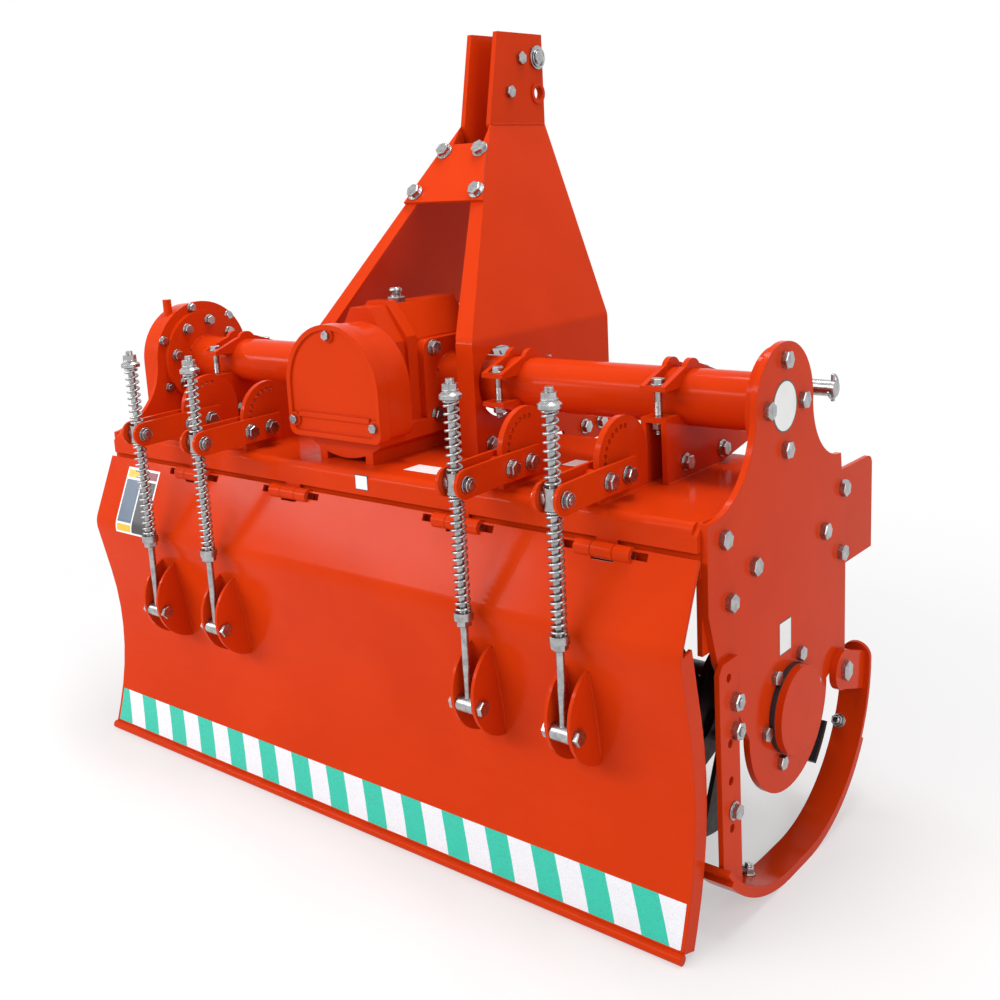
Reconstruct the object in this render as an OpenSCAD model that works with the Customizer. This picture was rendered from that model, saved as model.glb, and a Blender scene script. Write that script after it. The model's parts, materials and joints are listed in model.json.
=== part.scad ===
// Tractor-mounted rotary tiller: a bladed rotor under a hood, driven through a centre gearbox
// and a side gear case, with a sprung trailing board behind and a three-point mast in front.
// Millimetres; +X is the machine's right, +Y is forward and +Z is up; it stands on its skids.

/* [Side plates] */
// half the width over the two side plates
half_width = 681; // [600:1:780]
// thickness of a side plate
plate_t = 10; // [6:1:14]
// radius of the right plate's round head
head_r = 92; // [84:1:100]
// radius of the left plate's round head
left_head_r = 118; // [110:1:124]
// radius of the hollow behind the head
rear_notch_r = 130; // [110:1:140]
// radius of the hollow in front of the head
front_notch_r = 103; // [90:1:112]
// rear edge of the plates
plate_rear_y = -245; // [-250:1:-235]
// height of the plates' rear shoulder
shoulder_z = 615; // [600:1:620]
// front edge of the plates
plate_front_y = 203; // [190:1:215]
// radius of the round foot about the rotor
lobe_r = 132; // [110:1:140]

/* [Drive line] */
// cross tube axis, fore and aft
tube_y = -12; // [-20:1:0]
// cross tube axis, height
tube_z = 738; // [725:1:750]
// outer diameter of the cross tube
tube_d = 88.9; // [80:0.1:92]
// wall of the cross tube
tube_wall = 6; // [4:0.5:10]
// radius of the tube's right end flange
flange_r = 84; // [78:1:90]
// radius of the tube's left end flange
left_flange_r = 100; // [95:1:106]
// thickness of the tube's end flanges
flange_t = 12; // [8:1:16]
// gearbox centre from the machine's middle, to the left
gearbox_offset = 40; // [30:1:60]
// width of the gearbox body
gearbox_w = 136; // [124:1:150]
// height of the gearbox's rear cover
cover_h = 196; // [185:1:204]
// width of the gearbox's rear cover
cover_w = 222; // [200:1:226]
// thickness of the gearbox's rear cover
cover_t = 24; // [16:1:30]
// rear face of the gearbox's cover
cover_y = -233; // [-240:1:-225]
// diameter of the power take-off shaft
pto_d = 34.9; // [34:0.1:36]
// front end of the power take-off shaft
pto_end_y = 290; // [270:1:310]
// depth of the side gear case
case_depth = 46; // [36:1:60]
// thickness of the side gear case's cover
case_cover_t = 6; // [4:1:10]

/* [Rotor] */
// rotor axis, fore and aft
rotor_y = 0; // [-8:1:8]
// rotor axis, height
rotor_z = 262; // [258:1:270]
// rotor tube diameter
rotor_d = 76; // [70:1:88]
// diameter of the rotor's stub shafts
stub_d = 50; // [44:1:54]
// radius of the blade carriers
carrier_r = 88; // [80:1:95]
// thickness of the blade carriers
carrier_t = 10; // [8:1:14]
// number of blade carriers
carriers = 6; // [4:1:6]
// radius of the blade tips
tip_r = 236; // [220:1:240]
// length of a blade's foot
foot_len = 74; // [60:1:80]
// thickness of a blade
blade_t = 8; // [6:0.5:9]
// width of a blade's shank
blade_w = 46; // [40:1:52]

/* [Hood] */
// thickness of the hood's sheet
hood_t = 5; // [4:0.5:8]
// height of the hood's top
hood_z = 617; // [610:1:622]
// rear face of the hood
hood_rear_y = -254; // [-257:1:-252]
// lower edge of the hood's rear lip
lip_z = 577; // [575:1:580]
// front end of the hood's flat top
hood_brow_y = 150; // [130:1:160]
// lower front edge of the hood
hood_front_z = 440; // [425:1:455]
// bend radius of the hood
hood_bend_r = 14; // [10:1:24]

/* [Trailing board] */
// half width of the trailing board
board_half_w = 676; // [640:1:690]
// thickness of the board's sheet
board_t = 5; // [4:0.5:7]
// hinge axis, fore and aft
hinge_y = -260; // [-263:1:-259]
// hinge axis, height
hinge_z = 561; // [558:1:563]
// board's bend, fore and aft
bend_y = -314; // [-318:1:-304]
// board's bend, height
bend_z = 446; // [430:1:460]
// bend radius of the board
board_bend_r = 50; // [30:1:60]
// board's hollow, fore and aft
hollow_y = -262; // [-268:1:-256]
// board's hollow, height
hollow_z = 190; // [170:1:210]
// radius of the board's hollow
hollow_r = 560; // [450:10:600]
// board's lower edge, fore and aft
edge_y = -322; // [-330:1:-310]
// depth of the board's side flanges
side_flange = 33; // [20:1:36]
// diameter of the bar along the board's lower edge
bar_d = 16; // [12:1:20]
// outer diameter of the hinge knuckles
knuckle_d = 24; // [20:1:28]
// diameter of the hinge pins
hinge_pin_d = 12; // [10:1:14]
// length of a hinge knuckle on the hood
knuckle_len = 36; // [28:1:50]

/* [Spring rods] */
// rod pair's inner rod from the pairs' middle
rod_inner_x = 302; // [280:1:320]
// rod pair's outer rod from the pairs' middle
rod_outer_x = 478; // [460:1:490]
// the rod pairs' middle from the machine's middle, to the right
rod_shift = 20; // [0:1:30]
// rods, fore and aft
rod_y = -337; // [-342:1:-334]
// height of the rods' lower pins
eye_z = 307; // [300:1:314]
// height of the trunnions
trunnion_z = 652; // [648:1:658]
// height of the rods' tops
rod_top_z = 806; // [795:1:820]
// rod diameter
rod_d = 12; // [10:0.5:13]
// outer diameter of the springs
spring_d = 28; // [26:0.5:28.5]
// wire diameter of the springs
wire_d = 5; // [4:0.1:5.5]
// length of the lower spring
lower_spring_len = 180; // [160:1:190]
// length of the upper spring
upper_spring_len = 108; // [90:1:115]
// diameter of the eye and trunnion barrels
barrel_d = 26; // [25:0.5:28]
// gap between an arm's two plates
arm_gap = 30; // [29:0.5:34]
// thickness of an arm plate
arm_t = 6; // [4:0.5:8]
// radius of the quadrants
quadrant_r = 64; // [58:1:66]
// thickness of the quadrants
quadrant_t = 10; // [8:1:12]
// radius of the lugs on the board
lug_r = 80; // [74:1:84]
// thickness of the lugs
lug_t = 6; // [5:0.5:8]

/* [Mast] */
// top of the mast
mast_top_z = 1345; // [1320:1:1370]
// lower end of the mast's legs at the head
head_low_z = 1178; // [1160:1:1190]
// height of the fold above the legs' feet
fold_z = 815; // [800:1:830]
// half width of the mast at the fold
fold_half_w = 193; // [185:1:205]
// gap between the two head plates
head_gap = 52; // [46:1:60]
// thickness of the head plates
head_t = 10; // [8:1:14]
// thickness of the legs' sheet
leg_t = 6; // [5:0.5:8]
// rear edge of the legs at the fold
fold_rear_y = -86; // [-92:1:-80]
// front edge of the legs at the fold
fold_front_y = 317; // [305:1:325]
// rear edge of the legs at the head
head_rear_y = 184; // [175:1:195]
// front edge of the head
head_front_y = 353; // [340:1:360]
// front end of the legs' feet on the hood
foot_front_y = 120; // [90:1:135]
// diameter of the top link holes
link_hole_d = 25.7; // [25:0.1:26.5]
// diameter of the top link pin
link_pin_d = 25.5; // [24:0.1:25.6]

/* [Hitch and skids] */
// lower link brackets from the middle between them
hitch_x = 525; // [510:1:540]
// diameter of the lower link pins
hitch_pin_d = 28; // [26:0.1:29]
// lower link pins, fore and aft
hitch_y = 323; // [310:1:330]
// height of the lower link pins
hitch_z = 700; // [690:1:715]
// gap between a bracket's two plates
hitch_gap = 26; // [22:1:32]
// thickness of the bracket plates
hitch_t = 9; // [8:1:12]
// width of a skid's runner
runner_w = 50; // [44:1:60]
// thickness of a skid's runner
runner_t = 16; // [12:1:20]
// radius of the skids' curved ends
runner_r = 255; // [245:1:265]
// overhang of the runner past the side plate
runner_out = 21; // [15:1:26]
// middle of the skids' flat, fore and aft
runner_mid_y = -12; // [-20:1:0]
// length of the skids' flat
runner_flat = 60; // [50:1:80]
// width of the skid struts
strut_w = 54; // [40:1:58]
// thickness of the skid struts
strut_t = 8; // [6:1:10]

/* [Hidden] */
$fn = 64;
// overrun of every cut
cut = 2;
// radial clearance of a turning fit
run_fit = 0.05;
// gap between pieces that rest on each other
rest_gap = 0.3;
// steps in a bend of a sheet
bend_steps = 7;

// the side plates' middle, so that the whole machine is centred on the origin
mid_x = (case_depth + case_cover_t - runner_out) / 2;
right_x = mid_x + half_width;
left_x = mid_x - half_width;
right_in_x = right_x - plate_t;
left_in_x = left_x + plate_t;
mast_x = mid_x - gearbox_offset;
rod_mid_x = mid_x + rod_shift;
rod_xs = [for (d = [-rod_outer_x, -rod_inner_x, rod_inner_x, rod_outer_x]) rod_mid_x + d];

// side plate outline
plate_waist_z = 487;
plate_tuck_y = -221;
plate_tuck_z = 409;
plate_front_low_z = 284;
plate_front_high_z = 443;
front_notch_drop = 10;
bearing_seat_r = 46;
bearing_cap_r = 70;
bearing_cap_t = 20;
case_head_r = 112;
case_lobe_r = 124;
breather_r = 9;
breather_h = 30;

// gearbox
shell_back_y = -152;
shell_inset = 3;
bell_y = -110;
bell_t = 24;
bell_rise = 7;
casting_top_z = 882;
casting_shoulder_z = 822;
casting_flat_w = 44;
gearbox_neck_r = 48;
gearbox_neck_y = 150;
gearbox_front_y = 70;
sump_w = 170;
sump_r = 150;
sump_h = 60;
sump_gap = 6;
foot_w = 18;
foot_reach = 56;
gearbox_flange_t = 14;
gearbox_flange_h = 150;
gearbox_flange_corner_r = 22;
cover_corner_r = 16;
cover_rim = 9;
cover_recess = 4;
cover_rise = 20;
ledge_low = 34;
ledge_h = 9;
pto_seat = 30;
pto_collar_r = 26;
pto_collar_t = 8;

// rotor
rotor_end_gap = 4;
carrier_margin = 96;
blades_a_side = 3;
shank_start_share = 0.5;
foot_turn = 27;
foot_lead = 9;
blade_end_share = 0.985;

// board and hinges
hinge_inner_x = 193;
hinge_outer_x = 466;
hinge_shift = 60;
knuckle_gap = 1;
board_knuckle_len = 28;
notch_gap = 3;
board_lift = 9;
floor_gap = 1;
hinge_xs = [for (d = [-hinge_outer_x, -hinge_inner_x, hinge_inner_x, hinge_outer_x]) mid_x + hinge_shift + d];

// spring rods
eye_len = 32;
eye_play = 3;
eye_gap = 1;
lug_y = -272;
lug_z = 322;
lug_reach = 140;
pin_head_d = 20;
pin_head_t = 8;
trunnion_pin_d = 14;
trunnion_collar_d = 28;
trunnion_half_h = 16;
pin_out = 12;
collar_d = 30;
collar_t = 12;
flange_d = 34;
nut_d = 24;
nut_h = 16;
coil_pitch = 15;
core_t = 1.2;
arm_end_r = 22;
arm_front_y = -160;
arm_low_z = 632;
arm_high_z = 676;
arm_bolt_ys = [-232, -185];
arm_bolt_z = 653;
arm_boss_r = 15;
quadrant_y = -170;
quadrant_z = 672;
quadrant_hole_d = 8;
quadrant_hole_r = 48;
quadrant_holes = 8;
quadrant_hole_step = 14;
quadrant_hole_turn = 82;

// mast
fold_r = 30;
strip_low_w = 37;
strip_high_w = 26;
foot_front_z = 700;
leg_hole_gap = 17;
cross_low_share = 0.62;
cross_high_share = 0.9;
cross_t = 6;
head_drop = 40;
head_lean_share = 0.2;
link_hole_y = 333;
link_hole_z = 1236;
link_pin_z = 1302;
pin_grip = 14;
pin_washer_r = 22;
pin_washer_t = 5;
clamp_w = 44;
clamp_t = 9;
clamp_shift = 24;

// hitch brackets, front guards and skids
hitch_nose_r = 36;
saddle_r = 60;
peak_w = 44;
ear_reach = 82;
ear_in = 50;
ear_z = 20;
ear_t = 8;
hitch_shift = -18;
hitch_shoulder_t = 10;
hitch_shoulder_r = 21;
hitch_free = 72;
saddle_foot_w = 80;
guard_t = 8;
guard_front_y = 333;
guard_low_z = 428;
guard_high_z = 590;
guard_corner_r = 16;
runner_rear_turn = 52;
runner_front_turn = 90;
shoe_t = 8;
shoe_rear_turn = 47;
shoe_front_turn = 58;
skid_lug_r = 34;
skid_pivot_y = 176;
skid_pivot_z = 262;
skid_lug_t = 12;
strut_top_y = -206;
strut_top_z = 412;
strut_low_y = -198;
strut_hole_d = 13;
strut_hole_shares = [0.06, 0.30, 0.44, 0.62];

paint = [0.86, 0.22, 0.07];
zinc = [0.75, 0.76, 0.78];
black = [0.07, 0.07, 0.08];
steel = [0.55, 0.56, 0.58];

// direction helpers for the bent sheets
function unit(v) = v / norm(v);
function side(v) = [-v[1], v[0]];
function turned(v, a) = [v[0] * cos(a) - v[1] * sin(a), v[0] * sin(a) + v[1] * cos(a)];
function sense(u, w) = u[0] * w[1] - u[1] * w[0] < 0 ? -1 : 1;
function flipped(list) = [for (i = [len(list) - 1 : -1 : 0]) list[i]];

// one rounded corner of a path, moved sideways by d
function corner(a, b, c, r, d) =
    let (u = unit(b - a), w = unit(c - b), s = sense(u, w), angle = acos(u * w))
    let (start = b - u * r * tan(angle / 2), centre = start + side(u) * s * r)
    [for (i = [0 : bend_steps]) centre - turned(side(u), s * angle * i / bend_steps) * s * (r - s * d)];

// a path with rounded corners, moved sideways by d
function path(pts, rs, d) = concat(
    [pts[0] + side(unit(pts[1] - pts[0])) * d],
    [for (i = [1 : len(pts) - 2]) each corner(pts[i - 1], pts[i], pts[i + 1], rs[i - 1], d)],
    [pts[len(pts) - 1] + side(unit(pts[len(pts) - 1] - pts[len(pts) - 2])) * d]);

// cross-section of a bent sheet between two sideways distances
module sheet(pts, rs, d0, d1) {
    polygon(concat(path(pts, rs, d0), flipped(path(pts, rs, d1))));
}

// an outline in Y and Z, extruded along X from x0 to x1
module along_x(x0, x1) {
    translate([x0, 0, 0]) rotate([90, 0, 90]) linear_extrude(x1 - x0) children();
}

// a round bar along X
module bar_x(x0, x1, y, z, r) {
    translate([x0, y, z]) rotate([0, 90, 0]) cylinder(r = r, h = x1 - x0);
}

// a round bar along Y
module bar_y(y0, y1, x, z, r) {
    translate([x, y0, z]) rotate([-90, 0, 0]) cylinder(r = r, h = y1 - y0);
}

// a box between two corners
module box(a, b) {
    translate(a) cube(b - a);
}

// side plates
module plate_outline(r) {
    rear_c = [tube_y - r - rear_notch_r, shoulder_z + rear_notch_r];
    front_c = [tube_y + r + front_notch_r, tube_z - front_notch_drop];
    brow_z = front_c[1] - front_notch_r;
    translate([tube_y, tube_z]) circle(r);
    translate([rotor_y, rotor_z]) circle(lobe_r);
    polygon([[plate_rear_y, shoulder_z], [plate_rear_y, plate_waist_z], [plate_tuck_y, plate_tuck_z],
        [rotor_y - lobe_r, rotor_z], [rotor_y + lobe_r, rotor_z], [plate_front_y, plate_front_low_z],
        [plate_front_y, plate_front_high_z], [front_c[0], brow_z], [tube_y, brow_z - front_notch_drop]]);
    difference() {
        polygon([[max(rear_c[0], plate_rear_y), shoulder_z], [tube_y, brow_z - front_notch_drop],
            [front_c[0], brow_z], [front_c[0], tube_z], [max(rear_c[0], plate_rear_y), tube_z]]);
        translate(rear_c) circle(rear_notch_r);
        translate(front_c) circle(front_notch_r);
    }
}

module side_plate_right() {
    color(paint) difference() {
        along_x(right_in_x, right_x) plate_outline(head_r);
        bar_x(right_in_x - cut, right_x + cut, rotor_y, rotor_z, bearing_seat_r);
    }
}

module side_plate_left() {
    color(paint) difference() {
        along_x(left_x, left_in_x) plate_outline(left_head_r);
        bar_x(left_x - cut, left_in_x + cut, rotor_y, rotor_z, bearing_seat_r);
    }
}

// cross tubes with their end flanges
module cross_tube(x0, x1) {
    difference() {
        bar_x(x0, x1, tube_y, tube_z, tube_d / 2);
        bar_x(x0 - cut, x1 + cut, tube_y, tube_z, tube_d / 2 - tube_wall);
    }
}

module cross_tubes() {
    gear_right = mast_x + gearbox_w / 2 + gearbox_flange_t;
    gear_left = mast_x - gearbox_w / 2 - gearbox_flange_t;
    color(paint) {
        cross_tube(gear_right, right_in_x);
        difference() {
            bar_x(right_in_x - flange_t, right_in_x, tube_y, tube_z, flange_r);
            bar_x(right_in_x - flange_t - cut, right_in_x + cut, tube_y, tube_z, tube_d / 2);
        }
        cross_tube(left_in_x, gear_left);
        difference() {
            bar_x(left_in_x, left_in_x + flange_t, tube_y, tube_z, left_flange_r);
            bar_x(left_in_x - cut, left_in_x + flange_t + cut, tube_y, tube_z, tube_d / 2);
        }
    }
}

// outline of the gearbox's rear cover: round above, square below
cover_z = tube_z + cover_rise;

module cover_outline(inset) {
    r = cover_w / 2 - inset;
    low = cover_z - cover_h / 2 + inset;
    top = cover_z + cover_h / 2 - inset;
    c = cover_corner_r;
    translate([mast_x, top - r]) intersection() {
        circle(r);
        translate([-r, 0]) square([2 * r, r]);
    }
    translate([mast_x - r, low + c]) square([2 * r, top - r - low - c]);
    translate([mast_x - r + c, low]) square([2 * (r - c), c]);
    for (s = [-1, 1]) translate([mast_x + s * (r - c), low + c]) circle(c);
}

// an outline in X and Z, extruded along Y from y0 to y1
module along_y(y0, y1) {
    translate([0, y1, 0]) rotate([90, 0, 0]) linear_extrude(y1 - y0) children();
}

// square flange where a cross tube is bolted to the gearbox
module tube_flange_outline() {
    h = gearbox_flange_h / 2;
    c = gearbox_flange_corner_r;
    translate([tube_y, tube_z]) {
        square([2 * h, 2 * (h - c)], center = true);
        square([2 * (h - c), 2 * h], center = true);
        for (s = [-1, 1], t = [-1, 1]) translate([s * (h - c), t * (h - c)]) circle(c);
    }
}

// boat-shaped sump under the gearbox, on two feet
module sump() {
    along_y(cover_y + cover_t, gearbox_front_y) intersection() {
        translate([mast_x, hood_z + sump_gap + sump_r]) circle(sump_r);
        translate([mast_x - sump_w / 2, hood_z]) square([sump_w, sump_h]);
    }
    for (s = [-1, 1])
        box([mast_x + s * foot_reach - foot_w / 2, cover_y + cover_t, hood_z],
            [mast_x + s * foot_reach + foot_w / 2, gearbox_front_y, cover_z]);
}

// outline of the gearbox's casting: upright sides, sloping shoulders and a narrow top
module casting_outline(inset) {
    h = gearbox_w / 2 - inset;
    top = casting_top_z - inset;
    shoulder = casting_shoulder_z - inset;
    translate([mast_x, 0]) polygon([[-h, tube_z - h], [h, tube_z - h], [h, shoulder],
        [casting_flat_w / 2, top], [-casting_flat_w / 2, top], [-h, shoulder]]);
}

module gearbox() {
    rim_r = gearbox_w / 2 - bell_rise;
    color(paint) difference() {
        union() {
            along_y(cover_y + cover_t, shell_back_y) cover_outline(shell_inset);
            along_y(shell_back_y, gearbox_front_y) casting_outline(bell_rise);
            along_y(bell_y, bell_y + bell_t) casting_outline(0);
            translate([mast_x, gearbox_front_y, tube_z]) rotate([-90, 0, 0])
                cylinder(r1 = rim_r, r2 = gearbox_neck_r, h = (gearbox_neck_y - gearbox_front_y) / 2);
            bar_y(gearbox_front_y, gearbox_neck_y, mast_x, tube_z, gearbox_neck_r);
            along_x(mast_x - gearbox_w / 2 - gearbox_flange_t, mast_x - rim_r) tube_flange_outline();
            along_x(mast_x + rim_r, mast_x + gearbox_w / 2 + gearbox_flange_t) tube_flange_outline();
            sump();
        }
        bar_y(gearbox_neck_y - pto_seat, gearbox_neck_y + cut, mast_x, tube_z, pto_d / 2 + run_fit);
    }
}

module gearbox_cover() {
    panel_w = cover_w - 2 * cover_rim - 2 * cover_corner_r;
    low = cover_z - cover_h / 2;
    color(paint) {
        difference() {
            along_y(cover_y, cover_y + cover_t) cover_outline(0);
            along_y(cover_y - cut, cover_y + cover_recess) cover_outline(cover_rim);
        }
        box([mast_x - panel_w / 2, cover_y, low + ledge_low],
            [mast_x + panel_w / 2, cover_y + cover_t / 2, low + ledge_low + ledge_h]);
    }
}

module pto_shaft() {
    color(steel) {
        bar_y(gearbox_neck_y - pto_seat + rest_gap, pto_end_y, mast_x, tube_z, pto_d / 2);
        bar_y(gearbox_neck_y + rest_gap, gearbox_neck_y + pto_collar_t, mast_x, tube_z, pto_collar_r);
    }
}

// side gear case
module case_outline(inset) {
    r_top = case_head_r - inset;
    r_low = case_lobe_r - inset;
    translate([tube_y, tube_z]) circle(r_top);
    translate([rotor_y, rotor_z]) circle(r_low);
    polygon([[tube_y - r_top, tube_z], [rotor_y - r_low, rotor_z],
        [rotor_y + r_low, rotor_z], [tube_y + r_top, tube_z]]);
}

module gear_case() {
    color(paint) {
        along_x(left_x - case_depth, left_x) case_outline(0);
        translate([left_x - case_depth / 2, tube_y - case_head_r / 2, tube_z])
            cylinder(r = breather_r, h = case_head_r + breather_h / 2);
    }
}

module gear_case_cover() {
    color(paint) along_x(left_x - case_depth - case_cover_t, left_x - case_depth) case_outline(case_cover_t);
}

// bearing housings at the rotor's ends
module rotor_bearings() {
    seat = bearing_seat_r - run_fit;
    color(paint) difference() {
        union() {
            bar_x(right_x, right_x + bearing_cap_t, rotor_y, rotor_z, bearing_cap_r);
            bar_x(right_in_x, right_x, rotor_y, rotor_z, seat);
        }
        bar_x(right_in_x - cut, right_x, rotor_y, rotor_z, stub_d / 2 + run_fit);
    }
    color(paint) difference() {
        union() {
            bar_x(left_in_x, left_in_x + bearing_cap_t, rotor_y, rotor_z, bearing_cap_r);
            bar_x(left_x, left_in_x, rotor_y, rotor_z, seat);
        }
        bar_x(left_x + plate_t / 2, left_in_x + bearing_cap_t + cut, rotor_y, rotor_z, stub_d / 2 + run_fit);
    }
}

// rotor
rotor_x0 = left_in_x + bearing_cap_t + rotor_end_gap;
rotor_x1 = right_in_x - rotor_end_gap;
carrier_pitch = (rotor_x1 - rotor_x0 - 2 * carrier_margin) / (carriers - 1);

module rotor_shaft() {
    color(black) {
        bar_x(rotor_x0, rotor_x1, rotor_y, rotor_z, rotor_d / 2);
        bar_x(left_x + plate_t / 2 + rest_gap, right_x - rest_gap, rotor_y, rotor_z, stub_d / 2);
        for (i = [0 : carriers - 1])
            bar_x(rotor_x0 + carrier_margin + i * carrier_pitch - carrier_t / 2,
                rotor_x0 + carrier_margin + i * carrier_pitch + carrier_t / 2, rotor_y, rotor_z, carrier_r);
    }
}

// one blade: a leaning shank on the carrier's face and a curved foot at its tip
module blade() {
    root_r = carrier_r * shank_start_share;
    end_r = tip_r * blade_end_share;
    linear_extrude(blade_t) polygon([[root_r, -blade_w / 2], [carrier_r, -blade_w / 2],
        end_r * [cos(foot_turn), -sin(foot_turn)], end_r * [cos(foot_lead), -sin(foot_lead)],
        [carrier_r, blade_w / 2], [root_r, blade_w / 2]]);
    linear_extrude(foot_len) intersection() {
        difference() {
            circle(tip_r);
            circle(tip_r - blade_t);
        }
        polygon([[0, 0], 2 * tip_r * [cos(foot_turn), -sin(foot_turn)],
            2 * tip_r * [cos(foot_lead), -sin(foot_lead)]]);
    }
}

module rotor_blades() {
    color(black) for (i = [0 : carriers - 1], k = [0 : blades_a_side - 1], s = [-1, 1])
        translate([rotor_x0 + carrier_margin + i * carrier_pitch + s * carrier_t / 2, rotor_y, rotor_z])
            mirror([s < 0 ? 1 : 0, 0, 0])
                rotate([360 * (k + i / carriers) / blades_a_side + (s < 0 ? 180 / blades_a_side : 0), 0, 0])
                    rotate([90, 0, 90]) blade();
}

// hood
hood_pts = [[hood_rear_y, lip_z], [hood_rear_y, hood_z], [hood_brow_y, hood_z],
    [plate_front_y, hood_front_z]];

module hood() {
    color(paint) difference() {
        union() {
            along_x(left_in_x + guard_t, right_in_x - guard_t)
                sheet(hood_pts, [hood_bend_r, hood_bend_r * 2], 0, -hood_t);
            for (x = hinge_xs) {
                bar_x(x - knuckle_len / 2, x + knuckle_len / 2, hinge_y, hinge_z, knuckle_d / 2);
                box([x - knuckle_len / 2, hood_rear_y, hinge_z],
                    [x + knuckle_len / 2, hood_rear_y + hood_t, lip_z + hood_t]);
            }
        }
        for (x = hinge_xs)
            bar_x(x - knuckle_len, x + knuckle_len, hinge_y, hinge_z, hinge_pin_d / 2 + run_fit);
    }
}

module hinge_pins() {
    reach = knuckle_len / 2 + knuckle_gap + board_knuckle_len;
    color(zinc) for (x = hinge_xs) bar_x(x - reach, x + reach, hinge_y, hinge_z, hinge_pin_d / 2);
}

// trailing board
edge_z = bar_d + floor_gap;
bar_z = edge_z - bar_d / 2;
upper_dir = unit([bend_y - hinge_y, bend_z - hinge_z]);
board_pts = [[hinge_y, hinge_z] - upper_dir * board_lift - side(upper_dir) * board_t / 2, [bend_y, bend_z],
    [hollow_y, hollow_z], [edge_y, bar_z]];
board_rs = [board_bend_r, hollow_r];
flange_pts = [[bend_y, bend_z], [hollow_y, hollow_z], [edge_y, edge_z]];

module trailing_board() {
    side_x = board_half_w;
    reach = knuckle_len / 2 + knuckle_gap;
    color(paint) difference() {
        union() {
            along_x(mid_x - side_x, mid_x + side_x) sheet(board_pts, board_rs, 0, board_t);
            for (x = [mid_x - side_x, mid_x + side_x - board_t])
                along_x(x, x + board_t) sheet(flange_pts, [hollow_r], board_t / 2, side_flange);
            for (x = hinge_xs)
                bar_x(x - reach - board_knuckle_len, x + reach + board_knuckle_len,
                    hinge_y, hinge_z, knuckle_d / 2);
        }
        bar_x(mid_x - side_x - cut, mid_x + side_x + cut, edge_y, bar_z, bar_d / 2);
        for (x = hinge_xs) {
            bar_x(x - reach, x + reach, hinge_y, hinge_z, knuckle_d / 2 + notch_gap);
            bar_x(x - knuckle_len * 2, x + knuckle_len * 2, hinge_y, hinge_z, hinge_pin_d / 2 + run_fit);
        }
    }
}

module board_bar() {
    color(paint) bar_x(mid_x - board_half_w, mid_x + board_half_w, edge_y, bar_z, bar_d / 2);
}

// half-moon lugs on the board's rear face, and the pins that the rods' eyes hang on
lug_half_gap = eye_len / 2 + eye_gap;

module board_lugs() {
    color(paint) for (x = rod_xs, s = [0, 1]) difference() {
        x0 = s == 0 ? x - lug_half_gap - lug_t : x + lug_half_gap;
        along_x(x0, x0 + lug_t) intersection() {
            translate([lug_y, lug_z]) circle(lug_r);
            sheet(board_pts, board_rs, 0, -lug_reach);
        }
        bar_x(x0 - cut, x0 + lug_t + cut, rod_y, eye_z, rod_d / 2 + run_fit);
    }
}

module lug_pins() {
    reach = lug_half_gap + lug_t;
    color(zinc) for (x = rod_xs) {
        bar_x(x - reach - pin_head_t, x + reach + pin_head_t, rod_y, eye_z, rod_d / 2);
        bar_x(x + reach, x + reach + pin_head_t, rod_y, eye_z, pin_head_d / 2);
        bar_x(x - reach - pin_head_t, x - reach, rod_y, eye_z, pin_head_d / 2);
    }
}

// quadrants on the hood and the arms that hold the trunnions
module arm_quadrants() {
    color(paint) for (x = rod_xs) difference() {
        union() {
            along_x(x - quadrant_t / 2, x + quadrant_t / 2) {
                translate([quadrant_y, quadrant_z]) circle(quadrant_r);
                translate([quadrant_y - quadrant_r, hood_z]) square([2 * quadrant_r, quadrant_z - hood_z]);
            }
            for (y = arm_bolt_ys) bar_x(x - arm_gap / 2, x + arm_gap / 2, y, arm_bolt_z, arm_boss_r);
        }
        for (i = [0 : quadrant_holes - 1]) let (a = quadrant_hole_turn + i * quadrant_hole_step)
            bar_x(x - quadrant_t, x + quadrant_t, quadrant_y + quadrant_hole_r * cos(a),
                quadrant_z + quadrant_hole_r * sin(a), quadrant_hole_d / 2);
        box([x - arm_gap, quadrant_y - 2 * quadrant_r, 0],
            [x + arm_gap, quadrant_y + 2 * quadrant_r, hood_z]);
    }
}

module arm_plates() {
    color(paint) for (x = rod_xs, s = [0, 1]) difference() {
        x0 = s == 0 ? x - arm_gap / 2 - arm_t : x + arm_gap / 2;
        along_x(x0, x0 + arm_t) {
            translate([rod_y, trunnion_z]) circle(arm_end_r);
            polygon([[rod_y, trunnion_z + arm_end_r], [rod_y, trunnion_z - arm_end_r],
                [arm_bolt_ys[0] - arm_boss_r, arm_low_z], [arm_front_y, arm_low_z], [arm_front_y, arm_high_z],
                [arm_bolt_ys[0] - arm_boss_r, arm_high_z]]);
        }
        bar_x(x0 - cut, x0 + arm_t + cut, rod_y, trunnion_z, trunnion_pin_d / 2 + run_fit);
    }
}

// trunnions, rods and springs
module trunnion(x) {
    half = arm_gap / 2 - rest_gap;
    color(zinc) difference() {
        union() {
            bar_x(x - half, x + half, rod_y, trunnion_z, barrel_d / 2);
            bar_x(x - arm_gap / 2 - arm_t - pin_out, x + arm_gap / 2 + arm_t + pin_out,
                rod_y, trunnion_z, trunnion_pin_d / 2);
            translate([x, rod_y, trunnion_z - trunnion_half_h])
                cylinder(d = trunnion_collar_d, h = 2 * trunnion_half_h);
        }
        translate([x, rod_y, trunnion_z - trunnion_half_h - cut])
            cylinder(r = rod_d / 2 + run_fit, h = 2 * (trunnion_half_h + cut));
    }
}

lower_top_z = trunnion_z - trunnion_half_h - rest_gap;
lower_seat_z = lower_top_z - lower_spring_len - rest_gap;
upper_low_z = trunnion_z + trunnion_half_h + rest_gap;
upper_seat_z = upper_low_z + upper_spring_len + rest_gap;

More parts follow.
